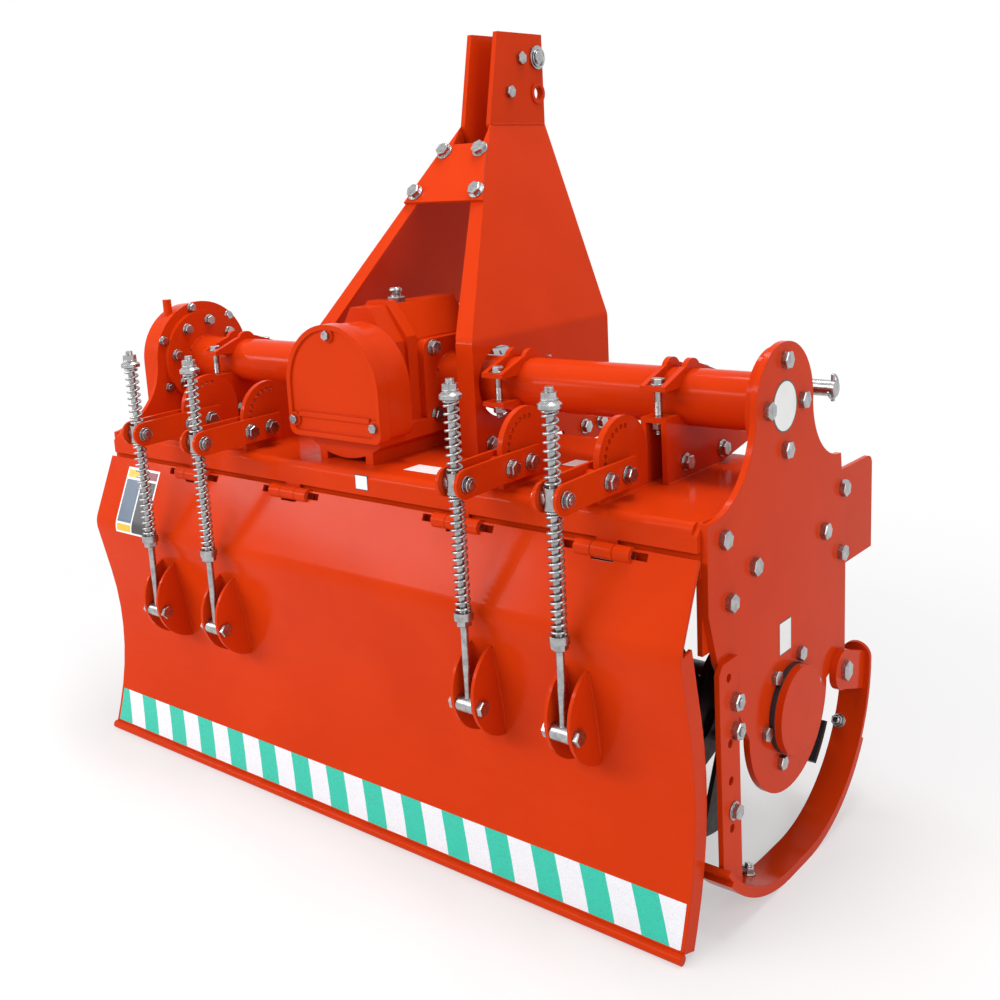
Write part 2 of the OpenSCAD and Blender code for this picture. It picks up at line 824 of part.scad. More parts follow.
module rod(x) {
    color(zinc) difference() {
        union() {
            translate([x, rod_y, eye_z]) cylinder(d = rod_d, h = rod_top_z - eye_z);
            bar_x(x - eye_len / 2, x + eye_len / 2, rod_y, eye_z, barrel_d / 2);
            translate([x, rod_y, lower_seat_z - collar_t]) cylinder(d = collar_d, h = collar_t);
            translate([x, rod_y, upper_seat_z]) cylinder(d = flange_d, h = collar_t / 2);
            translate([x, rod_y, upper_seat_z + collar_t / 2])
                cylinder(d1 = flange_d, d2 = nut_d, h = collar_t / 3);
            translate([x, rod_y, upper_seat_z + collar_t / 2]) cylinder(d = nut_d, h = nut_h, $fn = 6);
        }
        bar_x(x - eye_len, x + eye_len, rod_y, eye_z, rod_d / 2 + eye_play);
    }
}

// a spring's coils on a thin core, standing on z
module spring(x, z, length) {
    coils = round(length / coil_pitch);
    mean_r = (spring_d - wire_d) / 2;
    color(zinc) translate([x, rod_y, z]) rotate_extrude() {
        translate([mean_r - core_t / 2, 0]) square([core_t, length]);
        for (i = [0 : coils - 1])
            translate([mean_r, wire_d / 2 + i * (length - wire_d) / (coils - 1)])
                circle(d = wire_d, $fn = 24);
    }
}

module trunnion_1() { trunnion(rod_xs[0]); }
module trunnion_2() { trunnion(rod_xs[1]); }
module trunnion_3() { trunnion(rod_xs[2]); }
module trunnion_4() { trunnion(rod_xs[3]); }
module rod_1() { rod(rod_xs[0]); }
module rod_2() { rod(rod_xs[1]); }
module rod_3() { rod(rod_xs[2]); }
module rod_4() { rod(rod_xs[3]); }
module upper_spring_1() { spring(rod_xs[0], upper_low_z, upper_spring_len); }
module upper_spring_2() { spring(rod_xs[1], upper_low_z, upper_spring_len); }
module upper_spring_3() { spring(rod_xs[2], upper_low_z, upper_spring_len); }
module upper_spring_4() { spring(rod_xs[3], upper_low_z, upper_spring_len); }
module lower_spring_1() { spring(rod_xs[0], lower_top_z - lower_spring_len, lower_spring_len); }
module lower_spring_2() { spring(rod_xs[1], lower_top_z - lower_spring_len, lower_spring_len); }
module lower_spring_3() { spring(rod_xs[2], lower_top_z - lower_spring_len, lower_spring_len); }
module lower_spring_4() { spring(rod_xs[3], lower_top_z - lower_spring_len, lower_spring_len); }

// mast
head_half = head_gap / 2 + head_t;
leg_rise = head_low_z - fold_z;
strip_lean = atan((head_rear_y - fold_rear_y) / leg_rise);
strip_len = leg_rise / cos(strip_lean);
leg_side_pts = [[fold_half_w, hood_z], [fold_half_w, fold_z], [head_half, head_low_z]];
leg_rear_pts = [[fold_rear_y, hood_z], [fold_rear_y, fold_z], [head_rear_y, head_low_z]];

// the right leg about the mast's middle: one folded sheet with a side, a rear strip and an upright foot
module mast_leg() {
    difference() {
        union() {
            intersection() {
                along_y(fold_rear_y, head_front_y) sheet(leg_side_pts, [fold_r], 0, leg_t);
                along_x(0, fold_half_w) polygon(concat(path(leg_rear_pts, [fold_r], 0),
                    [[head_front_y, head_low_z], [fold_front_y, fold_z], [fold_front_y, foot_front_z],
                    [foot_front_y, hood_z]]));
            }
            intersection() {
                along_x(0, fold_half_w) sheet(leg_rear_pts, [fold_r], 0, -leg_t);
                along_y(fold_rear_y, head_front_y) polygon(concat(path(leg_side_pts, [fold_r], 0),
                    [[head_half - strip_high_w, head_low_z], [fold_half_w - strip_low_w, fold_z],
                    [fold_half_w - strip_low_w, hood_z]]));
            }
        }
        box([-head_half, fold_rear_y - cut, fold_z], [head_half, head_front_y + cut, head_low_z + leg_t]);
        bar_x(0, 2 * fold_half_w, tube_y, tube_z, tube_d / 2 + leg_hole_gap);
    }
}

module mast_leg_right() {
    color(paint) translate([mast_x, 0, 0]) mast_leg();
}

module mast_leg_left() {
    color(paint) translate([mast_x, 0, 0]) mirror([1, 0, 0]) mast_leg();
}

module mast_cross_plate() {
    low = strip_len * cross_low_share;
    high = strip_len * cross_high_share;
    color(paint) translate([mast_x, fold_rear_y, fold_z]) rotate([-strip_lean, 0, 0]) along_y(-cross_t, 0)
        polygon([for (s = [-1, 1], p = s < 0 ? [low, high] : [high, low])
            [s * (fold_half_w + (head_half - fold_half_w) * p / strip_len), p]]);
}

module mast_heads() {
    lean = (head_front_y - head_rear_y) * head_lean_share;
    color(paint) for (s = [-1, 1]) difference() {
        x0 = s < 0 ? mast_x - head_half : mast_x + head_gap / 2;
        along_x(x0, x0 + head_t) polygon([[head_rear_y, head_low_z], [head_rear_y + lean, mast_top_z],
            [head_front_y, mast_top_z], [head_front_y, head_low_z - head_drop],
            [head_rear_y + head_drop / 2, head_low_z - head_drop]]);
        bar_x(x0 - cut, x0 + head_t + cut, link_hole_y, link_hole_z, link_hole_d / 2);
        bar_x(x0 - cut, x0 + head_t + cut, link_hole_y, link_pin_z, link_hole_d / 2);
    }
}

module top_link_pin() {
    reach = head_half + pin_washer_t;
    color(zinc) {
        bar_x(mast_x - reach - pin_grip, mast_x + reach, link_hole_y, link_pin_z, link_pin_d / 2);
        bar_x(mast_x + head_half, mast_x + reach, link_hole_y, link_pin_z, pin_washer_r);
    }
}

// upper half of a clamp's side plate: a rounded peak over the tube, falling to the ears
module clamp_outline() {
    difference() {
        union() {
            polygon([[-ear_reach, ear_z], [-ear_reach, ear_z + ear_t], [-peak_w / 2, saddle_r - peak_w / 4],
                [peak_w / 2, saddle_r - peak_w / 4], [ear_reach, ear_z + ear_t], [ear_reach, ear_z]]);
            translate([0, saddle_r - peak_w / 2]) circle(peak_w / 2);
        }
        circle(tube_d / 2);
    }
}

// half a clamp on the tube from x0 to x1: two side plates joined by the ears in front and behind
module clamp_half(x0, x1) {
    for (x = [x0, x1 - clamp_t]) along_x(x, x + clamp_t) clamp_outline();
    for (y = [-ear_reach, ear_in])
        box([x0, y, ear_z], [x1, y + ear_reach - ear_in, ear_z + ear_t]);
}

// split clamps on the tube, beside the mast's feet
module mast_clamps() {
    color(paint) for (s = [-1, 1], t = [0, 1]) {
        x0 = mast_x + (s > 0 ? fold_half_w + clamp_shift : -fold_half_w - clamp_shift - clamp_w);
        translate([0, tube_y, tube_z]) mirror([0, 0, t]) clamp_half(x0, x0 + clamp_w);
    }
}

// lower link brackets: a clamp cap over the tube, and two plates under it that stand on the hood
hitch_xs = [for (s = [-1, 1]) mid_x + hitch_shift + s * hitch_x];
hitch_out = hitch_gap / 2 + hitch_t;

module hitch_brackets() {
    color(paint) for (x = hitch_xs) {
        translate([0, tube_y, tube_z]) clamp_half(x - hitch_out, x + hitch_out);
        for (y = [tube_y - ear_reach, tube_y + ear_in])
            box([x - hitch_out, y, tube_z - ear_z - ear_t],
                [x + hitch_out, y + ear_reach - ear_in, tube_z - ear_z]);
        for (x0 = [x - hitch_out, x + hitch_gap / 2]) difference() {
            along_x(x0, x0 + hitch_t) {
                translate([hitch_y, hitch_z]) circle(hitch_nose_r);
                polygon([[tube_y - ear_reach, tube_z - ear_z], [tube_y - saddle_foot_w, hood_z],
                    [tube_y + saddle_foot_w, hood_z], [hitch_y, hitch_z - hitch_nose_r],
                    [hitch_y, hitch_z + hitch_nose_r], [tube_y + ear_reach, tube_z - ear_z]]);
            }
            bar_x(x0 - cut, x0 + hitch_t + cut, tube_y, tube_z, tube_d / 2);
            bar_x(x0 - cut, x0 + hitch_t + cut, hitch_y, hitch_z, hitch_pin_d / 2 + run_fit);
        }
    }
}

// lower link pins: a shoulder against the outer plate, and a free end for the link's ball
module hitch_pins() {
    reach = hitch_out + hitch_shoulder_t + hitch_free;
    color(zinc) for (i = [0, 1]) translate([hitch_xs[i], 0, 0]) mirror([1 - i, 0, 0]) {
        bar_x(-hitch_out - pin_grip, reach, hitch_y, hitch_z, hitch_pin_d / 2);
        bar_x(hitch_out, hitch_out + hitch_shoulder_t, hitch_y, hitch_z, hitch_shoulder_r);
    }
}

// hood end plates: they close the hood's ends against the side plates and reach forward as guards
module end_plate_outline() {
    c = guard_corner_r;
    polygon([[plate_rear_y, lip_z], [hood_rear_y, lip_z], [hood_rear_y, hood_z - c],
        [hood_rear_y + c, hood_z],
        [hood_brow_y, hood_z], [plate_front_y, hood_front_z], [plate_front_y, guard_low_z],
        [plate_rear_y, guard_low_z]]);
    translate([hood_brow_y, guard_low_z])
        square([guard_front_y - c - hood_brow_y, guard_high_z - guard_low_z]);
    translate([guard_front_y - c, guard_low_z]) square([c, guard_high_z - guard_low_z - c]);
    translate([guard_front_y - c, guard_high_z - c]) circle(c);
}

module hood_end_plates() {
    color(paint) {
        along_x(right_in_x - guard_t, right_in_x) end_plate_outline();
        along_x(left_in_x, left_in_x + guard_t) end_plate_outline();
    }
}

// skids: a curved runner under each side plate, with the lug that bolts its front end to the plate
runner_rear_c = [runner_mid_y - runner_flat / 2, runner_r];
runner_front_c = [runner_mid_y + runner_flat / 2, runner_r];

// a stretch of a curved strip between two radii, from its foot round to the angle given
module runner_bend(angle, r0, r1) {
    intersection() {
        difference() {
            circle(r1);
            circle(r0);
        }
        polygon([[0, 0], [0, -2 * runner_r], 2 * runner_r * [sign(angle), -1],
            2 * runner_r * [sin(angle), -cos(angle)]]);
    }
}

// a bent strip between two radii: a flat with a curve at each end
module runner_strip(r0, r1, rear_turn, front_turn) {
    translate([runner_rear_c[0], runner_r - r1]) square([runner_flat, r1 - r0]);
    translate(runner_front_c) runner_bend(front_turn, r0, r1);
    translate(runner_rear_c) runner_bend(-rear_turn, r0, r1);
}

module skid() {
    x0 = right_x + runner_out - runner_w;
    mid_r = runner_r - shoe_t;
    inner_r = runner_r - runner_t;
    along_x(x0, x0 + runner_w) runner_strip(inner_r, mid_r, runner_rear_turn, runner_front_turn);
    along_y(runner_front_c[0] + inner_r, runner_front_c[0] + mid_r) intersection() {
        translate([x0 + runner_w / 2, runner_r]) circle(runner_w / 2);
        translate([x0, runner_r]) square([runner_w, runner_w]);
    }
    along_x(x0, x0 + runner_w) runner_strip(mid_r, runner_r, shoe_rear_turn, shoe_front_turn);
    along_x(right_x, right_x + skid_lug_t) intersection() {
        translate(runner_front_c) circle(inner_r);
        union() {
            translate([skid_pivot_y, skid_pivot_z]) circle(skid_lug_r);
            polygon([[skid_pivot_y, skid_pivot_z + skid_lug_r], [skid_pivot_y, skid_pivot_z - skid_lug_r],
                [runner_front_c[0] + runner_r, skid_pivot_z - 2 * skid_lug_r],
                [runner_front_c[0] + runner_r, skid_pivot_z]]);
        }
    }
}

// the left side's copy of a right-hand piece
module on_left() {
    translate([2 * mid_x, 0, 0]) mirror([1, 0, 0]) children();
}

module skids() {
    color(paint) {
        skid();
        on_left() skid();
    }
}

// struts that hold the skids' rear ends, with the holes for other skid heights
module strut() {
    run = [strut_low_y - strut_top_y, -strut_top_z];
    difference() {
        along_x(right_x, right_x + strut_t) intersection() {
            translate(runner_rear_c) circle(runner_r - runner_t);
            polygon([[strut_top_y - strut_w / 2, strut_top_z], [strut_top_y + strut_w / 2, strut_top_z],
                [strut_low_y + strut_w / 2, 0], [strut_low_y - strut_w / 2, 0]]);
        }
        for (h = strut_hole_shares) let (p = [strut_top_y, strut_top_z] + h * run)
            bar_x(right_x - cut, right_x + strut_t + cut, p[0], p[1], strut_hole_d / 2);
    }
}

module skid_struts() {
    color(paint) {
        strut();
        on_left() strut();
    }
}

side_plate_right();
side_plate_left();
cross_tubes();
gearbox();
gearbox_cover();
pto_shaft();
gear_case();
gear_case_cover();
rotor_bearings();
rotor_shaft();
rotor_blades();
hood();
hinge_pins();
trailing_board();
board_bar();
board_lugs();
lug_pins();
arm_quadrants();
arm_plates();
mast_leg_right();
mast_leg_left();
mast_cross_plate();
mast_heads();
top_link_pin();
mast_clamps();
hitch_brackets();
hitch_pins();
hood_end_plates();
skids();
skid_struts();
trunnion_1();
trunnion_2();
trunnion_3();
trunnion_4();
rod_1();
rod_2();
rod_3();
rod_4();
upper_spring_1();
upper_spring_2();
upper_spring_3();
upper_spring_4();
lower_spring_1();
lower_spring_2();
lower_spring_3();
lower_spring_4();
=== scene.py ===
"""Looks of a tractor-mounted rotary tiller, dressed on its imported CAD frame."""

import json
import math
import random

import bpy
from mathutils import Matrix, Vector


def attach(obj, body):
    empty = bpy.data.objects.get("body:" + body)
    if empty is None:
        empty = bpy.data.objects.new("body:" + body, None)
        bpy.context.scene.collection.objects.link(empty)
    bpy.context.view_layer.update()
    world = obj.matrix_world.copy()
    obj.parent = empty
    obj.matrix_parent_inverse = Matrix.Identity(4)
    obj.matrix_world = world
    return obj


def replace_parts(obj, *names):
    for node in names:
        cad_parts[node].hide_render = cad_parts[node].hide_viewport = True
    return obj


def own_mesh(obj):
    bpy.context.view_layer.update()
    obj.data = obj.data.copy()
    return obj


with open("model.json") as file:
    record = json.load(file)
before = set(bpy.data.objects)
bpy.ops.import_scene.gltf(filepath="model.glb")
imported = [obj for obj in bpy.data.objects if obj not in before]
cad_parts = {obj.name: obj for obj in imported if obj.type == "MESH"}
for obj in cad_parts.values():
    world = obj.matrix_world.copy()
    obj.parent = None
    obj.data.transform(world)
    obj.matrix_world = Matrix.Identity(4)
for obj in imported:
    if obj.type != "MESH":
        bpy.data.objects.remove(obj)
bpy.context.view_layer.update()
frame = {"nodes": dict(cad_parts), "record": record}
rng = random.Random(7)
scene = bpy.context.scene
MM = 0.001
OUT, IN = (1, 0, 0), (-1, 0, 0)
REAR, UP, DOWN = (0, -1, 0), (0, 0, 1), (0, 0, -1)
SIDES = ((1, OUT), (-1, IN))

# Sizes shared with the CAD model, in millimetres: +X is the machine's right, +Y forward, +Z up.
MID_X = 15.5
ROD_MID, HITCH_MID = MID_X + 20, MID_X - 18
RIGHT_X, LEFT_X = 696.5, -665.5
PLATE_T, FLANGE_T, STRUT_T, PIVOT_T = 10, 12, 8, 12
LEFT_IN, RIGHT_IN = LEFT_X + PLATE_T, RIGHT_X - PLATE_T
FIRST_FLANGE_X, LAST_FLANGE_X = LEFT_IN + 120, RIGHT_IN - 100
TUBE_Y, TUBE_Z, TUBE_R = -12, 738, 44.45
ROTOR_Z = 262
ROD_XS = [ROD_MID + d for d in (-478, -302, 302, 478)]
ROD_Y, TRUNNION_Z, EYE_Z = -337, 652, 307
LOWER_TOP, LOWER_LEN = 635.7, 180
UPPER_LOW, UPPER_LEN = 668.3, 108
HOOD_Z, HOOD_REAR_Y = 617, -254
COVER_Y, GEAR_HALF = -233, 82
MAST_X = -24.5
FOLD_Y, FOLD_Z, FOLD_HALF = -86, 815, 193
HEAD_Y, HEAD_Z, HEAD_HALF = 184, 1178, 36
LINK_Y, LINK_HOLE_Z, LINK_PIN_Z = 333, 1236, 1302
PIN_WASHER_T = 5
HITCH_XS = [HITCH_MID - 525, HITCH_MID + 525]
HITCH_Y, HITCH_Z, HITCH_OUT = 323, 700, 22
RUNNER_R, RUNNER_IN = 255, 239

# The trailing board's section, as (y, z).
HINGE = Vector((-260, 561))
BEND = Vector((-314, 446))
HOLLOW = Vector((-262, 190))
EDGE = Vector((-322, 9))
BEND_R, HOLLOW_R = 50, 560
BOARD_T, BOARD_HALF, BOARD_LIFT = 5, 676, 9


def add_node(nt, kind, values=()):
    """A new shader node with some of its inputs set."""
    node = nt.nodes.new("ShaderNode" + kind)
    for key, value in dict(values).items():
        node.inputs[key].default_value = value
    return node


def new_material(name):
    """A material, its node tree and its shader."""
    mat = bpy.data.materials.new(name)
    mat.use_nodes = True
    nt = mat.node_tree
    return mat, nt, nt.nodes["Principled BSDF"]


def noise(nt, scale, detail=3.0, stretch=None):
    """Noise in the piece's own space, squeezed along its axes where asked."""
    place = add_node(nt, "TexCoord").outputs["Object"]
    tex = add_node(nt, "TexNoise", {"Scale": scale, "Detail": detail})
    if stretch:
        mapping = add_node(nt, "Mapping", {"Scale": stretch})
        nt.links.new(place, mapping.inputs["Vector"])
        place = mapping.outputs["Vector"]
    nt.links.new(place, tex.inputs["Vector"])
    return tex.outputs["Fac"]


def ramp(nt, fac, stops):
    """A colour ramp over two (place, colour) stops."""
    node = add_node(nt, "ValToRGB")
    for element, (place, colour) in zip(node.color_ramp.elements, stops):
        element.position = place
        element.color = (*colour, 1)
    nt.links.new(fac, node.inputs["Fac"])
    return node.outputs["Color"]


def spread(nt, fac, low, high):
    """The middle of a noise's range, mapped onto two values."""
    node = add_node(nt, "MapRange", {"From Min": 0.3, "From Max": 0.7,
                                     "To Min": low, "To Max": high})
    nt.links.new(fac, node.inputs["Value"])
    return node.outputs["Result"]


def bumped(nt, bsdf, height, strength, distance, edge=None):
    """Fine relief, over edges rounded by a radius in metres."""
    bump = add_node(nt, "Bump", {"Strength": strength, "Distance": distance})
    nt.links.new(height, bump.inputs["Height"])
    if edge:
        bevel = add_node(nt, "Bevel", {"Radius": edge})
        bevel.samples = 4
        nt.links.new(bevel.outputs["Normal"], bump.inputs["Normal"])
    nt.links.new(bump.outputs["Normal"], bsdf.inputs["Normal"])


def surface(name, light, dark, rough, metallic=0.0, grain=6.0, peel=900.0, strength=0.03,
            edge=0.0012, gloss=0.5, stretch=None):
    """A material with mottled colour, uneven roughness and fine relief."""
    mat, nt, bsdf = new_material(name)
    mottle = ramp(nt, noise(nt, grain, 4.0, stretch), [(0.3, dark), (0.7, light)])
    nt.links.new(mottle, bsdf.inputs["Base Color"])
    wear = spread(nt, noise(nt, grain * 7, 3.0, stretch), *rough)
    nt.links.new(wear, bsdf.inputs["Roughness"])
    bsdf.inputs["Metallic"].default_value = metallic
    bsdf.inputs["Specular IOR Level"].default_value = gloss
    bumped(nt, bsdf, noise(nt, peel, 2.0, stretch), strength, 0.0004, edge)
    return mat


def label_surface(name, light, dark, rough=(0.30, 0.40)):
    return surface(name, light, dark, rough, grain=30.0, peel=600.0, strength=0.02, edge=None)


def tape_material(name, light, dark):
    """Reflective tape with a pattern of fine cells."""
    mat, nt, bsdf = new_material(name)
    coord = add_node(nt, "TexCoord")
    cells = add_node(nt, "TexVoronoi", {"Scale": 240})
    cells.feature = "DISTANCE_TO_EDGE"
    nt.links.new(coord.outputs["Object"], cells.inputs["Vector"])
    pattern = cells.outputs["Distance"]
    nt.links.new(ramp(nt, pattern, [(0.02, dark), (0.10, light)]), bsdf.inputs["Base Color"])
    nt.links.new(spread(nt, noise(nt, 40.0), 0.22, 0.34), bsdf.inputs["Roughness"])
    bsdf.inputs["Coat Weight"].default_value = 0.3
    bsdf.inputs["Coat Roughness"].default_value = 0.08
    bumped(nt, bsdf, pattern, 0.05, 0.0003)
    return mat


ORANGE = surface("orange_paint", (0.64, 0.042, 0.004), (0.59, 0.036, 0.003), (0.12, 0.19),
                 gloss=0.045)
ZINC = surface("zinc_plate", (0.50, 0.50, 0.50), (0.30, 0.30, 0.31), (0.20, 0.36), metallic=1.0,
               grain=90.0, peel=1500.0, strength=0.05, edge=0.0006)
STEEL = surface("turned_steel", (0.50, 0.50, 0.52), (0.38, 0.38, 0.40), (0.24, 0.36), metallic=1.0,
                grain=60.0, peel=700.0, strength=0.06, edge=0.0006, stretch=(1, 14, 1))
BLACK = surface("black_paint", (0.022, 0.021, 0.022), (0.010, 0.010, 0.011), (0.38, 0.55),
                grain=9.0, peel=260.0, strength=0.12, edge=0.0015)
LABEL = label_surface("plain_label", (0.88, 0.88, 0.87), (0.83, 0.83, 0.82))
INK = label_surface("label_border", (0.05, 0.05, 0.055), (0.035, 0.035, 0.04), (0.32, 0.42))
AMBER = label_surface("label_amber", (0.85, 0.50, 0.03), (0.78, 0.44, 0.02))
BLUE = label_surface("label_blue", (0.10, 0.15, 0.22), (0.08, 0.12, 0.18))
MAROON = label_surface("label_maroon", (0.22, 0.02, 0.03), (0.18, 0.015, 0.02))
TEAL = tape_material("tape_teal", (0.005, 0.56, 0.40), (0.004, 0.47, 0.33))
WHITE = tape_material("tape_white", (0.84, 0.86, 0.90), (0.74, 0.77, 0.83))

BY_SLOT = {"orange_paint": ORANGE, "zinc": ZINC, "black_paint": BLACK, "bare_steel": STEEL}
for part in frame["record"]["subparts"]:
    mesh = frame["nodes"][part["node"]].data
    mesh.materials.clear()
    mesh.materials.append(BY_SLOT[part["material_slot"]])


def basis(axis):
    """A rotation that takes +Z to an axis."""
    n = Vector(axis).normalized()
    helper = Vector((0, 0, 1)) if abs(n.z) < 0.9 else Vector((0, 1, 0))
    u = helper.cross(n).normalized()
    return Matrix((u, n.cross(u), n)).transposed()


def around(r, count, turn=0.0):
    """Evenly spaced points on a circle about the origin."""
    angles = [turn + math.tau * k / count for k in range(count)]
    return [(r * math.cos(a), r * math.sin(a)) for a in angles]


class Kit:
    """Collects faces in millimetres and makes one object of them."""

    # a washer's thickness, then a bolt's and a nut's measures over their nominal size
    WASHER_T = 2.5
    ACROSS_FLATS, HEAD_H, NUT_H = 1.5, 0.62, 0.8

    def __init__(self, name, body, slot=None, mats=None):
        self.name, self.body, self.slot = name, body, slot
        self.mats = mats or [BY_SLOT[slot]]
        self.verts, self.faces, self.index, self.smooth = [], [], [], []

    def add(self, verts, faces, m=0, smooth=False):
        base = len(self.verts)
        self.verts += [Vector(v) * MM for v in verts]
        for face in faces:
            self.faces.append([base + i for i in face])
            self.index.append(m)
            self.smooth.append(smooth)

    def rings(self, rings, smooth=True, closed=False):
        """A skin over equal rings of points, with capped ends or closed on itself."""
        count = len(rings[0])
        faces = []
        for i in range(len(rings) if closed else len(rings) - 1):
            a, b = i * count, (i + 1) % len(rings) * count
            for k in range(count):
                k2 = (k + 1) % count
                faces.append((a + k, a + k2, b + k2, b + k))
        self.add([p for ring in rings for p in ring], faces, smooth=smooth)
        if not closed:
            self.add(rings[0], [tuple(range(count))[::-1]])
            self.add(rings[-1], [tuple(range(count))])

    def lathe(self, at, axis, profile, segs=24, smooth=True, turn=0.0, closed=False):
        """Revolves (radius, height) pairs about an axis that starts at a point."""
        rot = basis(axis)
        self.rings([[Vector(at) + rot @ Vector((u, v, h)) for u, v in around(r, segs, turn)]
                    for r, h in profile], smooth, closed)

    def collar(self, at, axis, inner, outer, low, high, segs):
        """A closed ring between two radii and two heights."""
        profile = [(inner, low), (outer, low), (outer, high), (inner, high)]
        self.lathe(at, axis, profile, segs, smooth=False, closed=True)

    def hexagon(self, at, axis, flats, h):
        """A hexagon with a chamfered end, turned at random."""
        r = flats / math.sqrt(3)
        turn = rng.random() * math.tau
        self.lathe(at, axis, [(r, 0), (r, h * 0.86), (r * 0.88, h)], 6, False, turn)

    def washer(self, at, axis, r):
        """A washer with broken edges."""
        t = self.WASHER_T
        profile = [(r - 0.5, 0), (r, 0.5), (r, t - 0.5), (r - 0.5, t)]
        self.lathe(at, axis, profile, 28, False)

    def bolt(self, at, axis, size, washer=True):
        """A bolt's head, on a washer where asked, on the surface at a point."""
        n = Vector(axis).normalized()
        at = Vector(at)
        if washer:
            self.washer(at, n, size)
            at = at + n * self.WASHER_T
        self.hexagon(at, n, size * self.ACROSS_FLATS, size * self.HEAD_H)

    def nut(self, at, axis, size, stud):
        """A washer, a nut and the threaded end that stands out of it."""
        n = Vector(axis).normalized()
        at = Vector(at)
        self.washer(at, n, size)
        self.hexagon(at + n * self.WASHER_T, n, size * self.ACROSS_FLATS, size * self.NUT_H)
        top = size * self.NUT_H + self.WASHER_T
        self.thread(at + n * top, n, size / 2, stud)

    def thread(self, at, axis, r, length, pitch=2.0):
        """A threaded end, with its ridges."""
        steps = max(2, int(length / pitch))
        profile = []
        for i in range(steps):
            h = i * length / steps
            profile += [(r * 0.88, h), (r, h + length / steps / 2)]
        self.lathe(at, axis, profile + [(r * 0.8, length)], 20, False)

    def tube(self, points, r, sides=8):
        """A round wire along points, with closed ends."""
        pts = [Vector(p) for p in points]
        rings = []
        up = None
        for i, p in enumerate(pts):
            t = (pts[min(i + 1, len(pts) - 1)] - pts[max(i - 1, 0)]).normalized()
            if up is None:
                up = basis(t).col[0].copy()
            up = (up - t * up.dot(t)).normalized()
            across = t.cross(up)
            rings.append([p + (up * c + across * s) * r for c, s in around(1, sides)])
        self.rings(rings)

    def slab(self, outline, low, high, edge=0.8):
        """A plate from low to high along its outline's normal, with chamfered edges."""
        pts = [Vector(p) for p in outline]
        normal = Vector((0, 0, 0))
        for a, b in zip(pts, pts[1:] + pts[:1]):
            normal += a.cross(b)
        normal.normalize()
        centre = sum(pts, Vector()) / len(pts)
        shrink = 1 - edge / max((p - centre).length for p in pts)
        inner = [centre + (p - centre) * shrink for p in pts]
        levels = ((inner, low), (pts, low + edge), (pts, high - edge), (inner, high))
        self.rings([[p + normal * h for p in ring] for ring, h in levels], smooth=False)

    def build(self):
        """The finished object, riding its body."""
        mesh = bpy.data.meshes.new(self.name)
        mesh.from_pydata(self.verts, [], self.faces)
        for mat in self.mats:
            mesh.materials.append(mat)
        mesh.polygons.foreach_set("material_index", self.index)
        mesh.polygons.foreach_set("use_smooth", self.smooth)
        mesh.update()
        obj = bpy.data.objects.new(self.name, mesh)
        scene.collection.objects.link(obj)
        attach(obj, self.body)
        return obj


# Wound springs, in place of the CAD model's ring springs.
WIRE_R, SPRING_R = 2.1, 12.5
UPPER_TURNS, LOWER_TURNS = 10, 17
STEPS_PER_TURN = 20
END_PITCH = 0.35


def coil_points(x, low, high, turns):
    """A compression spring's wire: a helix whose end turns lie close."""
    steps = turns * STEPS_PER_TURN
    end = 1.0 / turns
    near = end * END_PITCH
    r = SPRING_R - WIRE_R
    pts = []
    for i in range(steps + 1):
        t = i / steps
        if t < end:
            eased = t * END_PITCH
        elif t > 1 - end:
            eased = 1 - (1 - t) * END_PITCH
        else:
            eased = near + (t - end) / (1 - 2 * end) * (1 - 2 * near)
        a = math.tau * turns * t
        z = low + WIRE_R + eased * (high - low - 2 * WIRE_R)
        pts.append((x + r * math.cos(a), ROD_Y + r * math.sin(a), z))
    return pts


for k, x in enumerate(ROD_XS, 1):
    body = "swivel_%d" % k
    upper = Kit("upper_coil_%d" % k, body, "zinc")
    upper.tube(coil_points(x, UPPER_LOW, UPPER_LOW + UPPER_LEN, UPPER_TURNS), WIRE_R)
    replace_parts(upper.build(), "upper_spring_%d" % k)
    lower = Kit("lower_coil_%d" % k, body, "zinc")
    lower.tube(coil_points(x, LOWER_TOP - LOWER_LEN, LOWER_TOP, LOWER_TURNS), WIRE_R)
    coil = lower.build()
    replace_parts(coil, "lower_spring_%d" % k)
    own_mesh(coil)


def rounded(points, radii, steps=7):
    """A path with rounded corners, in the same steps as the CAD model's sheet."""
    out = [points[0]]
    for a, b, c, r in zip(points, points[1:], points[2:], radii):
        u, w = (b - a).normalized(), (c - b).normalized()
        sense = -1 if u.x * w.y - u.y * w.x < 0 else 1
        angle = math.acos(max(-1, min(1, u.dot(w))))
        start = b - u * r * math.tan(angle / 2)
        side = Vector((-u.y, u.x))
        centre = start + side * sense * r
        for i in range(steps + 1):
            t = sense * angle * i / steps
            turned = Vector((side.x * math.cos(t) - side.y * math.sin(t),
                             side.x * math.sin(t) + side.y * math.cos(t)))
            out.append(centre - turned * sense * r)
    return out + [points[-1]]


top_dir = (BEND - HINGE).normalized()
top_side = Vector((-top_dir.y, top_dir.x))
board_top = HINGE - top_dir * BOARD_LIFT - top_side * BOARD_T / 2
FACE = rounded([board_top, BEND, HOLLOW, EDGE], [BEND_R, HOLLOW_R])


def face_y(z, lift=0.0):
    """The board's rear face at a height, moved outwards by a lift."""
    for a, b in zip(FACE, FACE[1:]):
        if min(a.y, b.y) <= z <= max(a.y, b.y) and abs(a.y - b.y) > 1e-6:
            t = (z - a.y) / (b.y - a.y)
            d = (b - a).normalized()
            return a.x + (b.x - a.x) * t - lift / max(0.2, abs(d.y))
    raise ValueError("the board has no face at height %g" % z)


def face_levels(low, high):
    """Heights between two limits, with every facet's edge among them."""
    return sorted({low, high} | {p.y for p in FACE if low < p.y < high})


